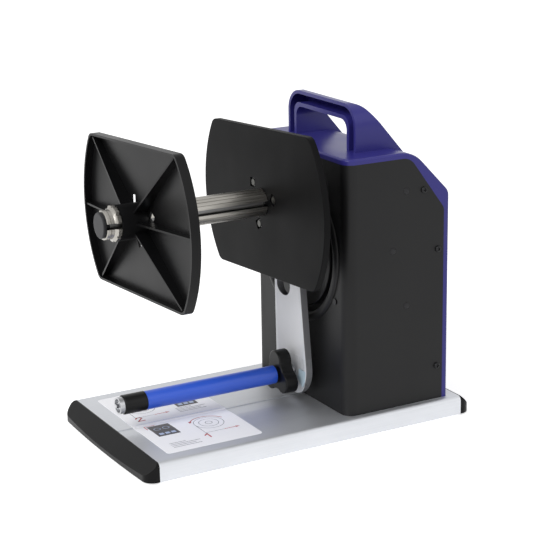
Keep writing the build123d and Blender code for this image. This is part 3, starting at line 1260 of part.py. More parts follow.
PIECES = {
    "base_plate": make_base,
    "rubber_feet": make_feet,
    "end_cap_left": lambda: make_end_cap(-1),
    "end_cap_right": lambda: make_end_cap(1),
    "instruction_sticker": make_sticker,
    "housing_body": make_housing_body,
    "rear_top_cover": make_cover,
    "cover_screws": make_cover_screws,
    "side_rivets": make_side_rivets,
    "side_brackets": make_side_brackets,
    "front_disc": make_front_disc,
    "disc_screws": make_disc_screws,
    "front_screws": make_front_screws,
    "front_posts": make_front_posts,
    "housing_bolts": make_housing_bolts,
    "chassis_bolts": make_chassis_bolts,
    "front_bearing_plate": make_front_plate,
    "rear_bearing_plate": make_rear_plate,
    "plate_pillars": make_pillars,
    "pillar_screws": make_pillar_screws,
    "spindle_bearings": make_bearings,
    "gear_motor": make_motor,
    "motor_screws": make_motor_screws,
    "arm_sensor": make_sensor,
    "arm_bushes": make_arm_bushes,
    "arm_spring": make_arm_spring,
    "stop_pins": make_stop_pins,
    "control_board": make_board,
    "board_standoffs": make_standoffs,
    "board_screws": make_board_screws,
    "power_inlet": make_inlet,
    "power_switch": make_switch,
    "switch_rocker": make_rocker,
    "spindle_shaft": make_shaft,
    "core_tube": make_core_tube,
    "inner_flange": make_inner_flange,
    "flange_hub": make_hub_disc,
    "flange_screws": make_flange_screws,
    "spindle_spacer": make_spacer,
    "drive_gear": make_drive_gear,
    "shaft_collar": make_collar,
    "outer_flange": make_outer_flange,
    "core_shell_1": lambda: make_shell(0),
    "core_shell_2": lambda: make_shell(1),
    "core_shell_3": lambda: make_shell(2),
    "core_lock_knob": make_lock_knob,
    "motor_pinion": make_pinion,
    "motor_shaft": make_motor_shaft,
    "tension_arm": make_arm,
    "arm_end_piece": make_arm_end,
    "arm_shaft": make_arm_shaft,
    "arm_screw": make_arm_screw,
    "stop_finger": make_stop_finger,
    "roller_axle": make_axle,
    "roller_ring": make_roller_ring,
    "knob_spacer": make_knob_spacer,
    "clamp_knob": make_knob,
    "roller_tube": make_roller_tube,
    "roller_bearings": make_roller_bearings,
    "roller_end_cap": make_roller_end,
}


def main():
    os.makedirs("parts", exist_ok=True)
    for name, make in PIECES.items():
        export_step(make(), f"parts/{name}.step")


if __name__ == "__main__":
    main()
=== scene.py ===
"""Looks of a bench label rewinder, built round its fixed CAD frame.

Metres, +X along the base towards the housing, -Y the front side, +Z up, table at Z = 0.
"""

import math

import bmesh
import bpy
from bpy.props import FloatProperty, FloatVectorProperty, IntProperty, PointerProperty
from mathutils import Matrix, Vector


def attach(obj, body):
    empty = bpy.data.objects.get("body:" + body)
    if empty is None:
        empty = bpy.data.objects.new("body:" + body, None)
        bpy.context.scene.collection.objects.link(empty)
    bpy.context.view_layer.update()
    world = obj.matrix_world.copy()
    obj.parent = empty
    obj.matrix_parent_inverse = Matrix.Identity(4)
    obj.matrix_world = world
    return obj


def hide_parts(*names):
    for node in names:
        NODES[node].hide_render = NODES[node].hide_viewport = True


bl_info = {
    "name": "Bench Label Rewinder",
    "version": (1, 0, 0),
    "blender": (4, 5, 0),
    "location": "3D View > Sidebar > Rewinder",
    "description": "Finishes and fittings of a bench label rewinder",
    "category": "Object",
}

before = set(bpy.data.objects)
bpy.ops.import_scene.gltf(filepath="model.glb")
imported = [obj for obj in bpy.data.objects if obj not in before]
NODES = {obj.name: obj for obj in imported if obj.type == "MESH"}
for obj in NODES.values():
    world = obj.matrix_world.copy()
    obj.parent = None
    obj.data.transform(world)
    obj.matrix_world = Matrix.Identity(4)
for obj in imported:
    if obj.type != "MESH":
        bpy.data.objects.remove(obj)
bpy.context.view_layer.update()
MM = 0.001

# Places of the CAD frame, in millimetres.
DECK = 17.7                             # top of the deck on the near side of its step
CREASE_NEAR = -22.0                     # the step's Y, where it starts to fall
CREASE_FAR = -4.0                       # and where it stands up again
CREASE_DEPTH = 0.8
SHEET_MIN = (-132.0, -72.0)             # the sheet's corner, X and Y
SHEET_THICKNESS = 0.25
HALF_SHEETS = (3.0, 74.0)               # where each drawing starts on the sheet, along Y
REEL_RADII = (13.0, 8.5, 3.0)           # of the reel in each drawing
WORDING_WIDTHS = (26.0, 22.0, 27.0, 15.0)
FINE_LINE = 0.5
ARROW_LINE = 0.8
NUMERAL_LINE = 1.3
SIDE = 78.6                             # half the housing's width
RIVET_SEAT = 0.4                        # how far the rivets' seats lie below the housing's side
AXIS_Z = 195.5                          # height of the spindle
SPINDLE_TURN = math.radians(-3.5)
CORE_TIP = -150.3                       # X of the shells' free end
CORE_ROOT = -3.0
ARM_PIVOT_Z = 151.5
ARM_LEAN = math.radians(-4.2)
ARM_END_BELOW = 104.3                   # centre of the arm's round end, along the arm
ARM_FACE_X = 20.0

# Core shells, in millimetres: (distance from the tip, outer radius).
SHELL_OUTLINE = ((0.0, 11.6), (0.5, 12.3), (3.0, 12.5), (3.8, 12.0), (6.6, 12.2), (8.2, 14.0), (8.6, 15.1),
                 (11.6, 15.1), (12.0, 14.6), (12.1, 12.0), (200.0, 12.0))
SHELL_STATIONS = (0.0, 0.5, 1.5, 3.0, 3.8, 5.2, 6.6, 7.4, 8.2, 8.6, 9.4, 10.6, 11.6, 12.0, 12.1, 13.0, 20.0)
SHELL_INNER = 9.4
SHELL_STEPS = 96                        # round each shell
SLOT_HALF = 2.4
SCALLOP_FROM, SCALLOP_TO = 8.3, 12.05
SCALLOP_DEPTH = 1.5
FLUTE_FROM = 12.9
FLUTE_DEPTH = 0.45

# Pale insert on the arm's end, in millimetres and degrees below the level of the end's centre.
INSET_INNER = 14.0
INSET_OUTER = 25.2
INSET_FROM = -38.0
INSET_TO = 0.0
INSET_PROUD = 0.2
INSET_SUNK = 0.4
INSET_STEPS = 12

# Camera that matches the photograph's view: degrees, millimetres of lens and sensor, metres.
CAMERA_AZIMUTH = -28.91
CAMERA_ELEVATION = 15.96
CAMERA_ROLL = -0.95
CAMERA_LENS = 109.95
CAMERA_SENSOR = 36.0
CAMERA_TARGET = (0.00476, 0.0, 0.1341)
CAMERA_DISTANCE = 1.4254
LAMP_AIM = (0.0, 0.0, 0.12)
FLOOR_HALF = 6.0
FLOOR_GLOW = 0.6                        # lifts the floor to the photograph's white where it is seen


# ------------------------------------------------------------------ colours and nodes
def linear(hex_colour):
    """sRGB hex, such as "#3f3a86", to a linear red, green, blue and alpha."""
    values = [int(hex_colour[i:i + 2], 16) / 255 for i in (1, 3, 5)]
    return tuple(v / 12.92 if v <= 0.04045 else ((v + 0.055) / 1.055) ** 2.4 for v in values) + (1.0,)


def add_node(tree, kind, inputs=None, **settings):
    """Adds a node, sets its settings, and fills or links its inputs."""
    node = tree.nodes.new(kind)
    for name, value in settings.items():
        setattr(node, name, value)
    for name, value in (inputs or {}).items():
        if isinstance(value, bpy.types.NodeSocket):
            tree.links.new(value, node.inputs[name])
        else:
            node.inputs[name].default_value = value
    return node


def start_material(name, **values):
    """A material with one Principled shader; returns it, its tree, its shader and the Object coordinates."""
    material = bpy.data.materials.new(name)
    material.use_nodes = True
    tree = material.node_tree
    tree.nodes.clear()
    shader = add_node(tree, "ShaderNodeBsdfPrincipled", values)
    add_node(tree, "ShaderNodeOutputMaterial", {"Surface": shader.outputs["BSDF"]})
    place = add_node(tree, "ShaderNodeTexCoord").outputs["Object"]
    material.diffuse_color = values.get("Base Color", (0.8, 0.8, 0.8, 1.0))
    return material, tree, shader, place


def noise(tree, place, scale, detail=2.0, stretch=(1.0, 1.0, 1.0)):
    """Noise whose grain is 1 / scale metres, stretched along the axes."""
    mapping = add_node(tree, "ShaderNodeMapping", {"Vector": place, "Scale": stretch})
    grain = add_node(tree, "ShaderNodeTexNoise", {
        "Vector": mapping.outputs["Vector"], "Scale": scale, "Detail": detail, "Roughness": 0.55})
    return grain.outputs["Fac"]


def spread(tree, value, low, high, at=(0.3, 0.7)):
    """Maps a 0 to 1 pattern onto low to high."""
    mapped = add_node(tree, "ShaderNodeMapRange", {
        "Value": value, "From Min": at[0], "From Max": at[1], "To Min": low, "To Max": high})
    return mapped.outputs["Result"]


def tint(tree, factor, dark, light):
    """Mixes two colours by a 0 to 1 pattern."""
    mix = add_node(tree, "ShaderNodeMix", {0: factor, 6: dark, 7: light}, data_type="RGBA")
    return mix.outputs[2]


def raise_surface(tree, shader, height, distance, strength=1.0):
    """Bump of a given depth in metres."""
    bump = add_node(tree, "ShaderNodeBump", {"Height": height, "Distance": distance, "Strength": strength})
    tree.links.new(bump.outputs["Normal"], shader.inputs["Normal"])


def shade(colour, factor):
    """The colour made lighter or darker by a factor."""
    return tuple(min(1.0, c * factor) for c in colour[:3]) + (1.0,)


# ------------------------------------------------------------------ finishes
def moulded_plastic(name, colour, roughness, gloss=0.25, grain=0.0008, depth=0.00002, variation=0.12):
    """Injection moulded ABS: even colour, a spark-eroded grain that breaks up the gloss."""
    material, tree, shader, place = start_material(name, **{
        "Base Color": colour, "Roughness": roughness, "Specular IOR Level": gloss})
    fine = noise(tree, place, 1 / grain, 2.0)
    broad = noise(tree, place, 1 / 0.07, 2.0)
    tree.links.new(tint(tree, broad, shade(colour, 1 - variation), shade(colour, 1 + variation)),
                   shader.inputs["Base Color"])
    tree.links.new(spread(tree, broad, roughness - 0.04, roughness + 0.05), shader.inputs["Roughness"])
    raise_surface(tree, shader, fine, depth)
    return material


def extruded_aluminium(name, colour, roughness, depth=0.000004):
    """Anodised extrusion: fine draw lines along X, a pale satin sheen."""
    material, tree, shader, place = start_material(name, **{
        "Base Color": colour, "Metallic": 1.0, "Roughness": roughness})
    lines = noise(tree, place, 1 / 0.0012, 3.0, (0.02, 1.0, 1.0))
    broad = noise(tree, place, 1 / 0.05, 2.0)
    tree.links.new(tint(tree, broad, shade(colour, 0.96), shade(colour, 1.03)), shader.inputs["Base Color"])
    tree.links.new(spread(tree, lines, roughness - 0.05, roughness + 0.07), shader.inputs["Roughness"])
    raise_surface(tree, shader, lines, depth)
    return material


def turned_metal(name, colour, roughness, along="X"):
    """Turned or drawn metal: faint rings across the axis it was turned about."""
    material, tree, shader, place = start_material(name, **{
        "Base Color": colour, "Metallic": 1.0, "Roughness": roughness})
    stretch = {"X": (1.0, 0.03, 0.03), "Z": (0.03, 0.03, 1.0)}[along]
    rings = noise(tree, place, 1 / 0.0008, 2.0, stretch)
    broad = noise(tree, place, 1 / 0.03, 2.0)
    tree.links.new(tint(tree, broad, shade(colour, 0.94), shade(colour, 1.05)), shader.inputs["Base Color"])
    tree.links.new(spread(tree, rings, roughness - 0.05, roughness + 0.08), shader.inputs["Roughness"])
    raise_surface(tree, shader, rings, 0.000003)
    return material


def painted_surface(name, colour, roughness, metallic=0.0, coat=0.0):
    """Sprayed or anodised colour with a light orange peel."""
    material, tree, shader, place = start_material(name, **{
        "Base Color": colour, "Roughness": roughness, "Metallic": metallic, "Coat Weight": coat,
        "Coat Roughness": 0.15})
    peel = noise(tree, place, 1 / 0.0015, 2.0)
    broad = noise(tree, place, 1 / 0.04, 2.0)
    tree.links.new(tint(tree, broad, shade(colour, 0.94), shade(colour, 1.05)), shader.inputs["Base Color"])
    tree.links.new(spread(tree, broad, roughness - 0.03, roughness + 0.04), shader.inputs["Roughness"])
    raise_surface(tree, shader, peel, 0.00001)
    return material


def soft_rubber(name, colour):
    """Moulded rubber: dull, slightly dusty."""
    material, tree, shader, place = start_material(name, **{"Base Color": colour, "Roughness": 0.85})
    dust = noise(tree, place, 1 / 0.004, 4.0)
    tree.links.new(tint(tree, dust, shade(colour, 0.8), shade(colour, 1.6)), shader.inputs["Base Color"])
    raise_surface(tree, shader, dust, 0.00005)
    return material


def solder_mask(name, colour):
    """Circuit board lacquer with copper tracks showing faintly through it."""
    material, tree, shader, place = start_material(name, **{"Base Color": colour, "Roughness": 0.3})
    brick = add_node(tree, "ShaderNodeTexBrick", {
        "Vector": place, "Scale": 120.0, "Mortar Size": 0.03, "Color1": shade(colour, 0.8),
        "Color2": shade(colour, 1.3), "Mortar": shade(colour, 2.0)})
    tree.links.new(brick.outputs["Color"], shader.inputs["Base Color"])
    return material


def printed_ink(name, colour):
    """Screen-printed ink: flat colour, thinner and thicker in places."""
    material, tree, shader, place = start_material(name, **{"Base Color": colour, "Roughness": 0.45})
    dabs = noise(tree, place, 1 / 0.0015, 3.0)
    tree.links.new(tint(tree, dabs, shade(colour, 0.85), shade(colour, 1.15)), shader.inputs["Base Color"])
    return material


def arm_with_painted_side_shade(name, face, edge, roughness):
    """Bright anodised face; faces turned away from −X are mixed toward the darker edge colour as painted
    shade.
    """
    material, tree, shader, place = start_material(name, **{"Base Color": face, "Roughness": roughness})
    normal = add_node(tree, "ShaderNodeTexCoord").outputs["Normal"]
    parts = add_node(tree, "ShaderNodeSeparateXYZ", {"Vector": normal})
    # Painted shade: faces whose normal turns away from −X take the darker edge colour, as if out of the
    # light.
    painted_side_shade = spread(tree, parts.outputs["X"], 0.0, 1.0, (-0.75, -0.45))
    broad = noise(tree, place, 1 / 0.03, 2.0)
    pale = tint(tree, broad, shade(face, 0.93), shade(face, 1.03))
    mix = add_node(tree, "ShaderNodeMix", {0: painted_side_shade, 6: pale, 7: edge}, data_type="RGBA")
    tree.links.new(mix.outputs[2], shader.inputs["Base Color"])
    brushed = noise(tree, place, 1 / 0.0009, 2.0, (1.0, 1.0, 0.04))
    tree.links.new(spread(tree, brushed, roughness - 0.05, roughness + 0.06), shader.inputs["Roughness"])
    raise_surface(tree, shader, brushed, 0.000004)
    return material


def printed_film(name, colour):
    """White printed film: smooth, with a faint sheen."""
    material, tree, shader, place = start_material(name, **{"Base Color": colour, "Roughness": 0.38})
    fibre = noise(tree, place, 1 / 0.002, 3.0)
    tree.links.new(tint(tree, fibre, shade(colour, 0.98), shade(colour, 1.02)), shader.inputs["Base Color"])
    raise_surface(tree, shader, fibre, 0.000006)
    return material


def seen_directly(tree):
    """1 for rays of the camera and for those that gloss or glass sends on, 0 for the rest."""
    ray = add_node(tree, "ShaderNodeLightPath")
    sent_on = add_node(tree, "ShaderNodeMath", {
        0: ray.outputs["Is Glossy Ray"], 1: ray.outputs["Is Transmission Ray"]}, operation="MAXIMUM")
    either = add_node(tree, "ShaderNodeMath", {
        0: ray.outputs["Is Camera Ray"], 1: sent_on.outputs["Value"]}, operation="MAXIMUM")
    return either.outputs["Value"]


# ------------------------------------------------------------------ pieces
def dress(material, *nodes):
    """Gives a finish to CAD nodes."""
    for name in nodes:
        mesh = NODES[name].data
        mesh.materials.clear()
        mesh.materials.append(material)


def add_piece(name, mesh, body, material=None, stands_for=()):
    """A new piece at the origin that rides on a body."""
    piece = bpy.data.objects.new(name, mesh)
    bpy.context.scene.collection.objects.link(piece)
    if material:
        mesh.materials.clear()
        mesh.materials.append(material)
    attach(piece, body)
    if stands_for:
        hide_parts(*stands_for)
    return piece


def lathe(profile, steps=48):
    """Mesh turned about Z from (radius, height) points, closed at both ends on the axis."""
    build = bmesh.new()
    rings = []
    for radius, height in profile:
        if radius < 1e-9:
            rings.append([build.verts.new((0, 0, height))])
        else:
            rings.append([build.verts.new((radius * math.cos(2 * math.pi * n / steps),
                                           radius * math.sin(2 * math.pi * n / steps), height))
                          for n in range(steps)])
    for low, high in zip(rings, rings[1:]):
        for n in range(steps):
            m = (n + 1) % steps
            corners = [low[n % len(low)], low[m % len(low)], high[m % len(high)], high[n % len(high)]]
            unique = [v for i, v in enumerate(corners) if v not in corners[:i]]
            if len(unique) > 2:
                build.faces.new(unique)
    bmesh.ops.recalc_face_normals(build, faces=build.faces)
    mesh = bpy.data.meshes.new("turned")
    build.to_mesh(mesh)
    build.free()
    return mesh


def screw_head(radius, height, recess):
    """Domed head, with a cross recess if wanted, seat at Z = 0, standing up along +Z."""
    profile = [(0, 0), (radius, 0), (radius, height * 0.35)]
    dome_steps = 6
    for n in range(1, dome_steps + 1):
        a = math.pi / 2 * n / dome_steps
        profile.append((radius * (0.55 + 0.45 * math.cos(a)), height * (0.35 + 0.65 * math.sin(a))))
    profile.append((0, height))
    head = bpy.data.objects.new("head", lathe(profile, 40))
    if not recess:
        return head.data
    bpy.context.scene.collection.objects.link(head)
    blades = []
    for turn in (0, 90):
        build = bmesh.new()
        spin = Matrix.Rotation(math.radians(turn), 4, "Z") @ Matrix.Translation((0, 0, height))
        size = Matrix.Diagonal((radius * 1.25, radius * 0.3, height * 1.1, 1.0))
        bmesh.ops.create_cube(build, size=1.0, matrix=spin @ size)
        mesh = bpy.data.meshes.new("blade")
        build.to_mesh(mesh)
        build.free()
        blade = bpy.data.objects.new("blade", mesh)
        bpy.context.scene.collection.objects.link(blade)
        cut = head.modifiers.new("recess", "BOOLEAN")
        cut.operation = "DIFFERENCE"
        cut.solver = "EXACT"
        cut.object = blade
        blades.append(blade)
    graph = bpy.context.evaluated_depsgraph_get()
    mesh = bpy.data.meshes.new_from_object(head.evaluated_get(graph))
    for thing in blades + [head]:
        bpy.data.objects.remove(thing)
    return mesh


def place_tree():
    """Geometry Nodes tree: a copy of one piece at each point, facing along the point's own direction."""
    tree = bpy.data.node_groups.new("Place at points", "GeometryNodeTree")
    ports = tree.interface
    ports.new_socket("Geometry", in_out="INPUT", socket_type="NodeSocketGeometry")
    ports.new_socket("Piece", in_out="INPUT", socket_type="NodeSocketObject")
    ports.new_socket("Size", in_out="INPUT", socket_type="NodeSocketFloat")
    ports.new_socket("Finish", in_out="INPUT", socket_type="NodeSocketMaterial")
    ports.new_socket("Geometry", in_out="OUTPUT", socket_type="NodeSocketGeometry")
    given = add_node(tree, "NodeGroupInput")
    info = add_node(tree, "GeometryNodeObjectInfo", {"Object": given.outputs["Piece"]})
    facing = add_node(tree, "GeometryNodeInputNamedAttribute", {"Name": "facing"},
                      data_type="FLOAT_VECTOR")
    roll = add_node(tree, "GeometryNodeInputNamedAttribute", {"Name": "roll"}, data_type="FLOAT")
    align = add_node(tree, "FunctionNodeAlignEulerToVector", {"Vector": facing.outputs["Attribute"]},
                     axis="Z")
    euler = add_node(tree, "ShaderNodeCombineXYZ", {"Z": roll.outputs["Attribute"]})
    turn = add_node(tree, "FunctionNodeRotateEuler", {
        "Rotation": align.outputs["Rotation"], "Rotate By": euler.outputs["Vector"]}, space="LOCAL")
    points = add_node(tree, "GeometryNodeInstanceOnPoints", {
        "Points": given.outputs["Geometry"], "Instance": info.outputs["Geometry"],
        "Rotation": turn.outputs["Rotation"]})
    size = add_node(tree, "GeometryNodeScaleInstances", {"Instances": points.outputs["Instances"]})
    tree.links.new(given.outputs["Size"], size.inputs["Scale"])
    real = add_node(tree, "GeometryNodeRealizeInstances", {"Geometry": size.outputs["Instances"]})
    finish = add_node(tree, "GeometryNodeSetMaterial", {
        "Geometry": real.outputs["Geometry"], "Material": given.outputs["Finish"]})
    add_node(tree, "NodeGroupOutput", {"Geometry": finish.outputs["Geometry"]})
    return tree


def bake_tree(name, start, tree, values):
    """Runs a Geometry Nodes tree on a start mesh and returns the result as a plain mesh."""
    carrier = bpy.data.objects.new(name + "_carrier", start)
    bpy.context.scene.collection.objects.link(carrier)
    modifier = carrier.modifiers.new("tree", "NODES")
    modifier.node_group = tree
    for item in tree.interface.items_tree:
        if item.item_type == "SOCKET" and item.in_out == "INPUT" and item.name in values:
            modifier[item.identifier] = values[item.name]
    graph = bpy.context.evaluated_depsgraph_get()
    mesh = bpy.data.meshes.new_from_object(carrier.evaluated_get(graph))
    mesh.name = name
    carrier.modifiers.clear()
    bpy.data.objects.remove(carrier)
    return mesh


def place_copies(name, head, places, material, body, stands_for):
    """Copies of a head mesh at (point, facing, roll) places, as one piece."""
    start = bpy.data.meshes.new(name + "_points")
    start.from_pydata([p for p, _, _ in places], [], [])
    start.attributes.new("facing", "FLOAT_VECTOR", "POINT")
    start.attributes.new("roll", "FLOAT", "POINT")
    for n, (_, direction, turn) in enumerate(places):
        start.attributes["facing"].data[n].vector = direction
        start.attributes["roll"].data[n].value = turn
    holder = bpy.data.objects.new(name + "_head", head)
    bpy.context.scene.collection.objects.link(holder)
    mesh = bake_tree(name, start, place_tree(), {"Piece": holder, "Size": 1.0, "Finish": material})
    bpy.data.objects.remove(holder)
    return add_piece(name, mesh, body, None, stands_for)


def shell_profile(x):
    """Outer radius of a core shell at a station along it, in millimetres from its tip."""
    for (x0, r0), (x1, r1) in zip(SHELL_OUTLINE, SHELL_OUTLINE[1:]):
        if x <= x1:
            return r0 + (r1 - r0) * (x - x0) / (x1 - x0)
    return SHELL_OUTLINE[-1][1]


def shell_mesh(index, flutes):
    """One third of the core: fluted tube with a flared, scalloped claw at its tip."""
    steps = SHELL_STEPS
    build = bmesh.new()
    sections = []
    for x in (*SHELL_STATIONS, CORE_ROOT - CORE_TIP):
        ring = []
        for outside in (True, False):
            for n in range(steps + 1):
                share = n / steps if outside else 1 - n / steps
                radius = shell_profile(x) if outside else SHELL_INNER
                half = math.radians(60) - math.asin(SLOT_HALF / radius)
                angle = (2 * share - 1) * half
                if outside and SCALLOP_FROM < x < SCALLOP_TO:
                    radius -= SCALLOP_DEPTH * max(0.0, -math.cos(9 * angle)) ** 4
                if outside and x > FLUTE_FROM:
                    edge = abs(share * (flutes + 1) % 1 - 0.5)
                    radius -= FLUTE_DEPTH if flutes and edge > 0.40 and 0.04 < share < 0.96 else 0.0
                turn = angle + math.radians(120 * index) + SPINDLE_TURN
                ring.append(build.verts.new(((CORE_TIP + x) * MM, radius * math.cos(turn) * MM,
                                             (AXIS_Z + radius * math.sin(turn)) * MM)))
        sections.append(ring)
    count = 2 * (steps + 1)
    for low, high in zip(sections, sections[1:]):
        for n in range(count):
            m = (n + 1) % count
            build.faces.new((low[n], low[m], high[m], high[n]))
    for ring in (sections[0], sections[-1]):
        for n in range(steps):
            build.faces.new((ring[n], ring[n + 1], ring[count - 2 - n], ring[count - 1 - n]))
    bmesh.ops.recalc_face_normals(build, faces=build.faces)
    mesh = bpy.data.meshes.new(f"shell_{index + 1}")
    build.to_mesh(mesh)
    build.free()
    mesh.shade_smooth()
    mesh.set_sharp_from_angle(angle=math.radians(30))
    return mesh


def deck_height(y):
    """Height of the printed sheet's top over the deck's shallow step, in millimetres."""
    drop = 0.0
    if CREASE_NEAR < y < CREASE_FAR:
        drop = CREASE_DEPTH * (y - CREASE_NEAR) / (CREASE_FAR - CREASE_NEAR)
    return DECK + SHEET_THICKNESS - drop


def flat_shapes(name, shapes, lift):
    """Thin printed shapes from outlines in sheet millimetres, folded over the deck's step."""
    build = bmesh.new()
    for outline in shapes:
        corners = [build.verts.new(((SHEET_MIN[0] + x) * MM, (SHEET_MIN[1] + y) * MM, 0)) for x, y in outline]
        build.faces.new(corners)
    bmesh.ops.triangulate(build, faces=build.faces)
    for y in (CREASE_NEAR, CREASE_FAR - SHEET_THICKNESS):
        everything = build.verts[:] + build.edges[:] + build.faces[:]
        bmesh.ops.bisect_plane(build, geom=everything, dist=1e-7, plane_co=(0, y * MM, 0), plane_no=(0, 1, 0))
    for face in build.faces:
        if face.normal.z < 0:
            face.normal_flip()
    for vert in build.verts:
        vert.co.z = (deck_height(vert.co.y / MM) + lift) * MM
    mesh = bpy.data.meshes.new(name)
    build.to_mesh(mesh)
    build.free()
    return mesh


def stroke(points, width):
    """Outlines of a line drawn through points, one four-sided piece for each leg."""
    pieces = []
    for (x0, y0), (x1, y1) in zip(points, points[1:]):
        long = math.hypot(x1 - x0, y1 - y0)
        dx, dy = (x1 - x0) / long * width / 2, (y1 - y0) / long * width / 2
        pieces.append([(x0 - dx + dy, y0 - dy - dx), (x1 + dx + dy, y1 + dy - dx),
                       (x1 + dx - dy, y1 + dy + dx), (x0 - dx - dy, y0 - dy + dx)])
    return pieces


def arc(cx, cy, radius, start, end, steps=24):
    """Points along an arc, angles in degrees."""
    angles = [math.radians(start + (end - start) * n / steps) for n in range(steps + 1)]
    return [(cx + radius * math.cos(a), cy + radius * math.sin(a)) for a in angles]


def arrow_head(x, y, heading, size):
    """Triangle that points along a heading in degrees."""
    a = math.radians(heading)
    return [(x + size * math.cos(a + turn), y + size * math.sin(a + turn)) for turn in (0.0, 2.4, -2.4)]


def bar(x0, y0, x1, y1):
    """Upright rectangle between two corners."""
    return [(x0, y0), (x1, y0), (x1, y1), (x0, y1)]


def inset_mesh():
    """Pale curved insert on the face of the arm's end, a band round the end's centre."""
    build = bmesh.new()
    centre_y = ARM_END_BELOW * math.sin(ARM_LEAN)
    centre_z = ARM_PIVOT_Z - ARM_END_BELOW * math.cos(ARM_LEAN)
    back, front = ARM_FACE_X + INSET_SUNK, ARM_FACE_X - INSET_PROUD
    section = ((INSET_INNER, back), (INSET_INNER, front), (INSET_OUTER, front), (INSET_OUTER, back))
    rings = []
    for n in range(INSET_STEPS + 1):
        a = math.radians(INSET_FROM + (INSET_TO - INSET_FROM) * n / INSET_STEPS)
        rings.append([build.verts.new((x * MM, (centre_y - radius * math.cos(a)) * MM,
                                       (centre_z + radius * math.sin(a)) * MM)) for radius, x in section])
    for low, high in zip(rings, rings[1:]):
        for n in range(4):
            m = (n + 1) % 4
            build.faces.new((low[n], low[m], high[m], high[n]))
    build.faces.new(rings[0])
    build.faces.new(rings[-1])
    bmesh.ops.recalc_face_normals(build, faces=build.faces)
    mesh = bpy.data.meshes.new("arm_inset")
    build.to_mesh(mesh)
    build.free()
    return mesh


def islands(node):
    """Lowest and highest corner of each separate solid of a CAD node."""
    build = bmesh.new()
    build.from_mesh(NODES[node].data)
    bmesh.ops.remove_doubles(build, verts=build.verts, dist=1e-6)
    seen, found = set(), []
    for first in build.verts:
        if first in seen:
            continue
        seen.add(first)
        group, queue = [], [first]
        while queue:
            vert = queue.pop()
            group.append(vert.co.copy())
            for edge in vert.link_edges:
                other = edge.other_vert(vert)
                if other not in seen:
                    seen.add(other)
                    queue.append(other)
        found.append((Vector(map(min, *group)), Vector(map(max, *group))))
    build.free()
    return found


# ------------------------------------------------------------------ settings
def colour_setting(name, description, default):
    """A colour that a user may change, its default as sRGB hex."""
    return FloatVectorProperty(name=name, description=description, default=linear(default), subtype="COLOR",
                               size=4, min=0, max=1)


class BaseSettings(bpy.types.PropertyGroup):
    """Base and end caps."""
    deck_colour: colour_setting("Deck", "Colour of the anodised deck", "#cfd1d5")
    deck_roughness: FloatProperty(name="Deck roughness", description="How satin the deck is", default=0.52,
                                  min=0, max=1, subtype="FACTOR")
    cap_colour: colour_setting("End caps", "Colour of the end caps", "#0b0b0c")


class HousingSettings(bpy.types.PropertyGroup):
    """Housing, cover and the screws on their sides."""
    body_colour: colour_setting("Body", "Colour of the housing body", "#121213")
    cover_colour: colour_setting("Cover", "Colour of the cover and handle", "#2f2c78")
    screw_radius: FloatProperty(name="Screw head", description="Radius of the side screws' heads",
                                default=2.8 * MM, min=0.001, max=0.01, unit="LENGTH")


class SpindleSettings(bpy.types.PropertyGroup):
    """Core shells and flanges."""
    flange_colour: colour_setting("Outer flange", "Colour of the outer flange", "#0a0a0b")
    flutes: IntProperty(name="Flutes", description="Lengthwise flutes on each core shell", default=5, min=0,
                        max=12)
    shell_colour: colour_setting("Core shells", "Colour of the core shells", "#a5a29c")


class ArmSettings(bpy.types.PropertyGroup):
    """Tension arm, roller and clamp knob."""
    arm_colour: colour_setting("Arm", "Colour of the tension arm", "#e3e4e8")
    roller_colour: colour_setting("Roller", "Colour of the roller's tube", "#2c58cc")
    knob_colour: colour_setting("Knob", "Colour of the clamp knob", "#070708")


class StageSettings(bpy.types.PropertyGroup):
    """Light on the object."""
    key_power: FloatProperty(name="Key", description="Power of the main lamp", default=42.0, min=0, max=500,
                             unit="POWER")
    fill_power: FloatProperty(name="Fill", description="Power of the side lamp", default=6.0, min=0, max=500,
                              unit="POWER")
    sky: FloatProperty(name="Sky", description="Strength of the even light from all round", default=0.55,
                       min=0, max=5)


# ------------------------------------------------------------------ operators
class REWINDER_OT_base(bpy.types.Operator):
    """Finishes the base, its end caps and its feet"""
    bl_idname = "rewinder.base"
    bl_label = "Base"

    def execute(self, context):
        look = context.scene.rewinder_base
        # Anodised extrusion: pale and even, with draw lines that catch the light lengthwise.
        dress(extruded_aluminium("satin_anodised_deck", tuple(look.deck_colour), look.deck_roughness),
              "base_plate")
        # Moulded ABS: near black with a dull grain.
        dress(moulded_plastic("moulded_black_cap", tuple(look.cap_colour), 0.32, 0.12), "end_cap_left",
              "end_cap_right")
        dress(soft_rubber("foot_rubber", linear("#161616")), "rubber_feet")
        return {"FINISHED"}


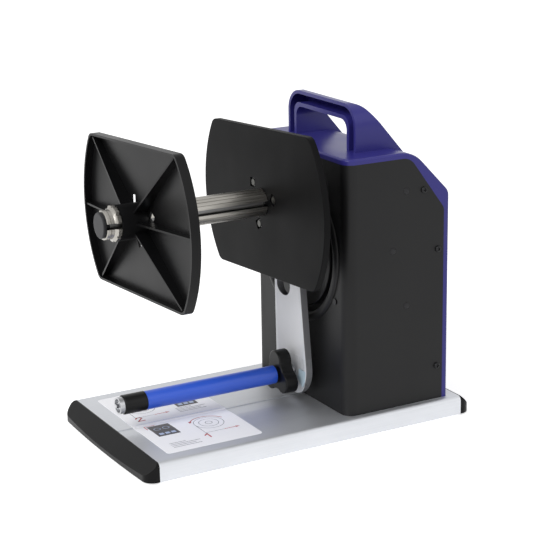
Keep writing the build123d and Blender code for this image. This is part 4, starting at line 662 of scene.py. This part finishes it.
class REWINDER_OT_sheet(bpy.types.Operator):
    """Prints the instruction sheet on the deck"""
    bl_idname = "rewinder.sheet"
    bl_label = "Instruction sheet"

    def execute(self, context):
        dress(printed_film("printed_film", linear("#f6f6fa")), "instruction_sticker")
        red, grey, dark, blue = [], [], [], []
        for half, oy in enumerate(HALF_SHEETS):
            # A reel on its stand, seen from the end, with the web running to a guide.
            cx, cy = (60.0, oy + 42.0) if half == 0 else (24.0, oy + 32.0)
            reel, guide = REEL_RADII[0], cy - 20
            for radius in REEL_RADII:
                grey += stroke(arc(cx, cy, radius, 0, 360, 40), FINE_LINE)
            grey += stroke([(cx - reel, cy), (cx - reel, guide), (cx + 4, guide)], FINE_LINE)
            turn = arc(cx, cy, reel + 3, 20, 150)
            red += stroke(turn, 0.9)
            red.append(arrow_head(*turn[-1], 245, 2.6))
            red += stroke([(cx + 5, guide), (cx + 15, guide)], ARROW_LINE)
            red.append(arrow_head(cx + 17, guide, 0, 2.2))
            # A dark panel with two dials and a row of pale keys.
            px, py = (10.0, oy + 34.0) if half == 0 else (54.0, oy + 18.0)
            dark.append(bar(px, py, px + 20, py + 26))
            for n in range(3):
                blue.append(bar(px + 2.5 + 5.5 * n, py + 3, px + 6.5 + 5.5 * n, py + 7))
            for n in range(2):
                blue += stroke(arc(px + 6 + 8 * n, py + 17, 2.8, 0, 360, 20), 0.7)
            red += stroke([(px - 1.5, py + 20), (px - 1.5, py + 27.5), (px + 8, py + 27.5)], ARROW_LINE)
            # A few lines that stand for the wording, and the step's number.
            left = 10.0 + 40 * half
            for n, width in enumerate(WORDING_WIDTHS):
                grey.append(bar(left, oy + 6 + 3 * n, left + width, oy + 6.8 + 3 * n))
            nx, ny = (44.0, oy + 12.0) if half == 0 else (10.0, oy + 4.0)
            if half == 0:
                red += stroke([(nx, ny + 5), (nx + 3, ny + 8), (nx + 3, ny)], NUMERAL_LINE)
            else:
                red += stroke([(nx, ny + 6), (nx + 1.5, ny + 8), (nx + 4.5, ny + 8), (nx + 5.5, ny + 6),
                               (nx, ny), (nx + 6, ny)], NUMERAL_LINE)
        blue.append(bar(4.0, 70.5, 84.0, 71.0))
        for name, shapes, colour, lift in (
                ("ink_red", red, "#b8323c", 0.05), ("ink_grey", grey, "#85868f", 0.05),
                ("ink_dark", dark, "#39373b", 0.04), ("ink_blue", blue, "#aab9d6", 0.07)):
            add_piece("sheet_" + name, flat_shapes(name, shapes, lift), "frame",
                      printed_ink(name, linear(colour)))
        return {"FINISHED"}


class REWINDER_OT_housing(bpy.types.Operator):
    """Finishes the housing body, the cover and the handle"""
    bl_idname = "rewinder.housing"
    bl_label = "Housing"

    def execute(self, context):
        look = context.scene.rewinder_housing
        # Fine spark grain that dulls the black walls; the cover is smoother and carries a soft gloss.
        dress(moulded_plastic("fine_textured_body", tuple(look.body_colour), 0.46, 0.25, 0.0009, 0.00003),
              "housing_body")
        dress(moulded_plastic("moulded_cover", tuple(look.cover_colour), 0.3, 0.3, 0.0012, 0.00001, 0.05),
              "rear_top_cover")
        dress(moulded_plastic("moulded_front_disc", linear("#101011"), 0.4, 0.25), "front_disc")
        return {"FINISHED"}


class REWINDER_OT_fasteners(bpy.types.Operator):
    """Puts recessed heads on the screws and domes on the rivets"""
    bl_idname = "rewinder.fasteners"
    bl_label = "Screws and rivets"

    def execute(self, context):
        look = context.scene.rewinder_housing
        bright = turned_metal("bright_zinc_screw", linear("#c8c8c6"), 0.28)
        dark = painted_surface("black_oxide", linear("#202022"), 0.4, 0.6)
        for name, head_material, slot, radius, height, recess in (
                ("cover_screws", dark, "screw_steel", look.screw_radius, 1.8 * MM, True),
                ("side_rivets", dark, "black_steel", look.screw_radius, 0.9 * MM, False)):
            places = []
            for n, (low, high) in enumerate(islands(name)):
                side = 1 if low.y > 0 else -1
                seat = (SIDE if recess else SIDE - RIVET_SEAT) * MM
                point = Vector(((low.x + high.x) / 2, side * seat, (low.z + high.z) / 2))
                places.append((point, (0, side, 0), 0.7 * n))
            place_copies(name + "_heads", screw_head(radius, height, recess), places, head_material, "frame",
                         (name,))
        dress(dark, "front_screws")
        dress(turned_metal("dull_zinc_screw", linear("#5a5a57"), 0.42), "flange_screws")
        dress(bright, "arm_screw")
        return {"FINISHED"}


class REWINDER_OT_spindle(bpy.types.Operator):
    """Finishes the spindle, its core shells and the lock knob"""
    bl_idname = "rewinder.spindle"
    bl_label = "Spindle"

    def execute(self, context):
        look = context.scene.rewinder_spindle
        # Drawn aluminium: bright, with fine flutes that run along the core.
        bright = extruded_aluminium("drawn_core_aluminium", tuple(look.shell_colour), 0.3)
        for n in range(3):
            mesh = shell_mesh(n, look.flutes)
            add_piece(f"fluted_shell_{n + 1}", mesh, f"shell_{n + 1}", bright,
                      (f"core_shell_{n + 1}",))
        dress(moulded_plastic("moulded_lock_knob", linear("#262628"), 0.4, 0.2), "core_lock_knob")
        # Moulded knob in the tip, ground steel and plain aluminium behind it.
        dress(turned_metal("ground_steel", linear("#b4b5b8"), 0.25), "spindle_shaft", "shaft_collar",
              "motor_shaft")
        dress(extruded_aluminium("bright_aluminium", linear("#8b8b8b"), 0.4), "core_tube", "flange_hub",
              "spindle_spacer")
        return {"FINISHED"}


class REWINDER_OT_flanges(bpy.types.Operator):
    """Finishes the two flanges"""
    bl_idname = "rewinder.flanges"
    bl_label = "Flanges"

    def execute(self, context):
        look = context.scene.rewinder_spindle
        dress(moulded_plastic("moulded_flange", tuple(look.flange_colour), 0.36, 0.17, 0.0008, 0.00001),
              "outer_flange")
        # Painted shadow: the inner flange's black is a touch darker than the outer flange's, standing in for
        # the outer flange's shadow on it.
        dress(moulded_plastic("moulded_inner_flange_painted_shadow", linear("#080809"), 0.5, 0.08, 0.0008, 0.00001),
              "inner_flange")
        return {"FINISHED"}


class REWINDER_OT_arm(bpy.types.Operator):
    """Finishes the tension arm, its roller and its knob"""
    bl_idname = "rewinder.arm"
    bl_label = "Tension arm"

    def execute(self, context):
        look = context.scene.rewinder_arm
        # Pale satin face; the sides turned away from −X get a darker grey, which is painted shade.
        dress(arm_with_painted_side_shade("satin_arm_painted_side_shade", tuple(look.arm_colour), linear("#6d6d70"), 0.34),
              "tension_arm")
        # The end piece carries the same painted side shade on its sides.
        dress(arm_with_painted_side_shade("satin_end_piece_painted_side_shade", linear("#dcdee2"), linear("#77787b"), 0.3), "arm_end_piece")
        add_piece("arm_inset", inset_mesh(), "arm",
                  printed_film("pale_insert", linear("#b9cdd9")))
        dress(turned_metal("turned_arm_shaft", linear("#b4b5b8"), 0.3), "arm_shaft", "roller_axle",
              "stop_finger", "roller_ring", "knob_spacer")
        dress(painted_surface("blue_lacquered_tube", tuple(look.roller_colour), 0.32), "roller_tube")
        dress(moulded_plastic("moulded_knob", tuple(look.knob_colour), 0.34, 0.22), "clamp_knob",
              "roller_end_cap")
        dress(moulded_plastic("moulded_insert", linear("#3c3c40"), 0.45), "roller_bearings")
        return {"FINISHED"}


class REWINDER_OT_inside(bpy.types.Operator):
    """Finishes the pieces inside the housing and on its back"""
    bl_idname = "rewinder.inside"
    bl_label = "Drive and electronics"

    def execute(self, context):
        dress(extruded_aluminium("mill_aluminium", linear("#c0c2c4"), 0.4), "front_bearing_plate",
              "rear_bearing_plate", "side_brackets")
        dress(turned_metal("ground_pin_steel", linear("#a8a9ac"), 0.3), "plate_pillars", "front_posts",
              "spindle_bearings", "arm_spring", "stop_pins")
        dress(turned_metal("inner_zinc_screw", linear("#c4c3bc"), 0.35), "pillar_screws", "motor_screws",
              "chassis_bolts", "housing_bolts", "board_standoffs", "board_screws", "disc_screws")
        dress(turned_metal("sintered_bronze", linear("#a88648"), 0.5), "arm_bushes", "motor_pinion")
        dress(moulded_plastic("acetal_gear", linear("#e6e4da"), 0.45), "drive_gear")
        dress(painted_surface("motor_can", linear("#5b5d60"), 0.4, 0.7), "gear_motor")
        dress(solder_mask("solder_mask", linear("#155c30")), "control_board")
        dress(moulded_plastic("moulded_socket", linear("#17171a"), 0.3, 0.35), "power_inlet", "power_switch",
              "switch_rocker", "arm_sensor")
        return {"FINISHED"}


class REWINDER_OT_stage(bpy.types.Operator):
    """Makes the floor, the light and the camera"""
    bl_idname = "rewinder.stage"
    bl_label = "Stage"

    def execute(self, context):
        look = context.scene.rewinder_stage
        scene = context.scene
        scene.view_settings.view_transform = "Standard"

        material = bpy.data.materials.new("pale_floor")
        material.use_nodes = True
        tree = material.node_tree
        tree.nodes.clear()
        matt = add_node(tree, "ShaderNodeBsdfDiffuse", {"Color": linear("#f2f2f2")})
        glow = add_node(tree, "ShaderNodeEmission", {"Strength": FLOOR_GLOW})
        both = add_node(tree, "ShaderNodeAddShader")
        tree.links.new(matt.outputs["BSDF"], both.inputs[0])
        tree.links.new(glow.outputs["Emission"], both.inputs[1])
        seen = seen_directly(tree)
        pick = add_node(tree, "ShaderNodeMixShader", {"Fac": seen})
        tree.links.new(matt.outputs["BSDF"], pick.inputs[1])
        tree.links.new(both.outputs["Shader"], pick.inputs[2])
        add_node(tree, "ShaderNodeOutputMaterial", {"Surface": pick.outputs["Shader"]})

        build = bmesh.new()
        bmesh.ops.create_grid(build, x_segments=1, y_segments=1, size=FLOOR_HALF)
        mesh = bpy.data.meshes.new("floor")
        build.to_mesh(mesh)
        build.free()
        mesh.materials.append(material)
        floor = bpy.data.objects.new("floor", mesh)
        scene.collection.objects.link(floor)

        world = bpy.data.worlds.new("studio")
        world.use_nodes = True
        sky = world.node_tree
        sky.nodes.clear()
        seen = seen_directly(sky)
        strength = add_node(sky, "ShaderNodeMapRange", {
            "Value": seen, "To Min": look.sky, "To Max": 1.0})
        background = add_node(sky, "ShaderNodeBackground", {
            "Color": (1.0, 1.0, 1.0, 1.0), "Strength": strength.outputs["Result"]})
        add_node(sky, "ShaderNodeOutputWorld", {"Surface": background.outputs["Background"]})
        scene.world = world

        for name, power, size, place in (
                ("key_lamp", look.key_power, 1.4, (-1.9, -0.7, 1.7)),
                ("fill_lamp", look.fill_power, 1.8, (1.2, -2.0, 1.6))):
            lamp = bpy.data.lights.new(name, "AREA")
            lamp.energy = power
            lamp.size = size
            carrier = bpy.data.objects.new(name, lamp)
            scene.collection.objects.link(carrier)
            carrier.location = place
            aim = Vector(LAMP_AIM) - Vector(place)
            carrier.rotation_euler = aim.to_track_quat("-Z", "Y").to_euler()

        azimuth, elevation = math.radians(CAMERA_AZIMUTH), math.radians(CAMERA_ELEVATION)
        roll = math.radians(CAMERA_ROLL)
        back = Vector((math.sin(azimuth) * math.cos(elevation), -math.cos(azimuth) * math.cos(elevation),
                       math.sin(elevation)))
        right = Vector((math.cos(azimuth), math.sin(azimuth), 0.0))
        up = back.cross(right)
        right, up = (math.cos(roll) * right + math.sin(roll) * up,
                     math.cos(roll) * up - math.sin(roll) * right)
        camera = bpy.data.objects.new("camera", bpy.data.cameras.new("camera"))
        camera.data.sensor_width = CAMERA_SENSOR
        camera.data.lens = CAMERA_LENS
        scene.collection.objects.link(camera)
        turn = Matrix((right, up, back)).transposed().to_4x4()
        camera.matrix_world = Matrix.Translation(Vector(CAMERA_TARGET) + back * CAMERA_DISTANCE) @ turn
        scene.camera = camera
        return {"FINISHED"}


class REWINDER_PT_panel(bpy.types.Panel):
    """Lists the pieces of the rewinder and their settings"""
    bl_idname = "REWINDER_PT_panel"
    bl_label = "Label rewinder"
    bl_space_type = "VIEW_3D"
    bl_region_type = "UI"
    bl_category = "Rewinder"

    def draw(self, context):
        for name, kind in SETTINGS.items():
            group = getattr(context.scene, name)
            for setting in kind.__annotations__:
                self.layout.prop(group, setting)
        for operator in OPERATORS:
            self.layout.operator(operator.bl_idname)


SETTINGS = {
    "rewinder_base": BaseSettings,
    "rewinder_housing": HousingSettings,
    "rewinder_spindle": SpindleSettings,
    "rewinder_arm": ArmSettings,
    "rewinder_stage": StageSettings,
}
OPERATORS = (REWINDER_OT_base, REWINDER_OT_sheet, REWINDER_OT_housing, REWINDER_OT_fasteners,
             REWINDER_OT_spindle, REWINDER_OT_flanges, REWINDER_OT_arm, REWINDER_OT_inside, REWINDER_OT_stage)


def register():
    for kind in (*SETTINGS.values(), *OPERATORS, REWINDER_PT_panel):
        bpy.utils.register_class(kind)
    for name, kind in SETTINGS.items():
        setattr(bpy.types.Scene, name, PointerProperty(type=kind))


def unregister():
    for name in SETTINGS:
        delattr(bpy.types.Scene, name)
    for kind in (REWINDER_PT_panel, *reversed(OPERATORS), *SETTINGS.values()):
        bpy.utils.unregister_class(kind)


def main():
    register()
    for kind in OPERATORS:
        group, name = kind.bl_idname.split(".")
        getattr(getattr(bpy.ops, group), name)()


if __name__ == "__main__":
    main()
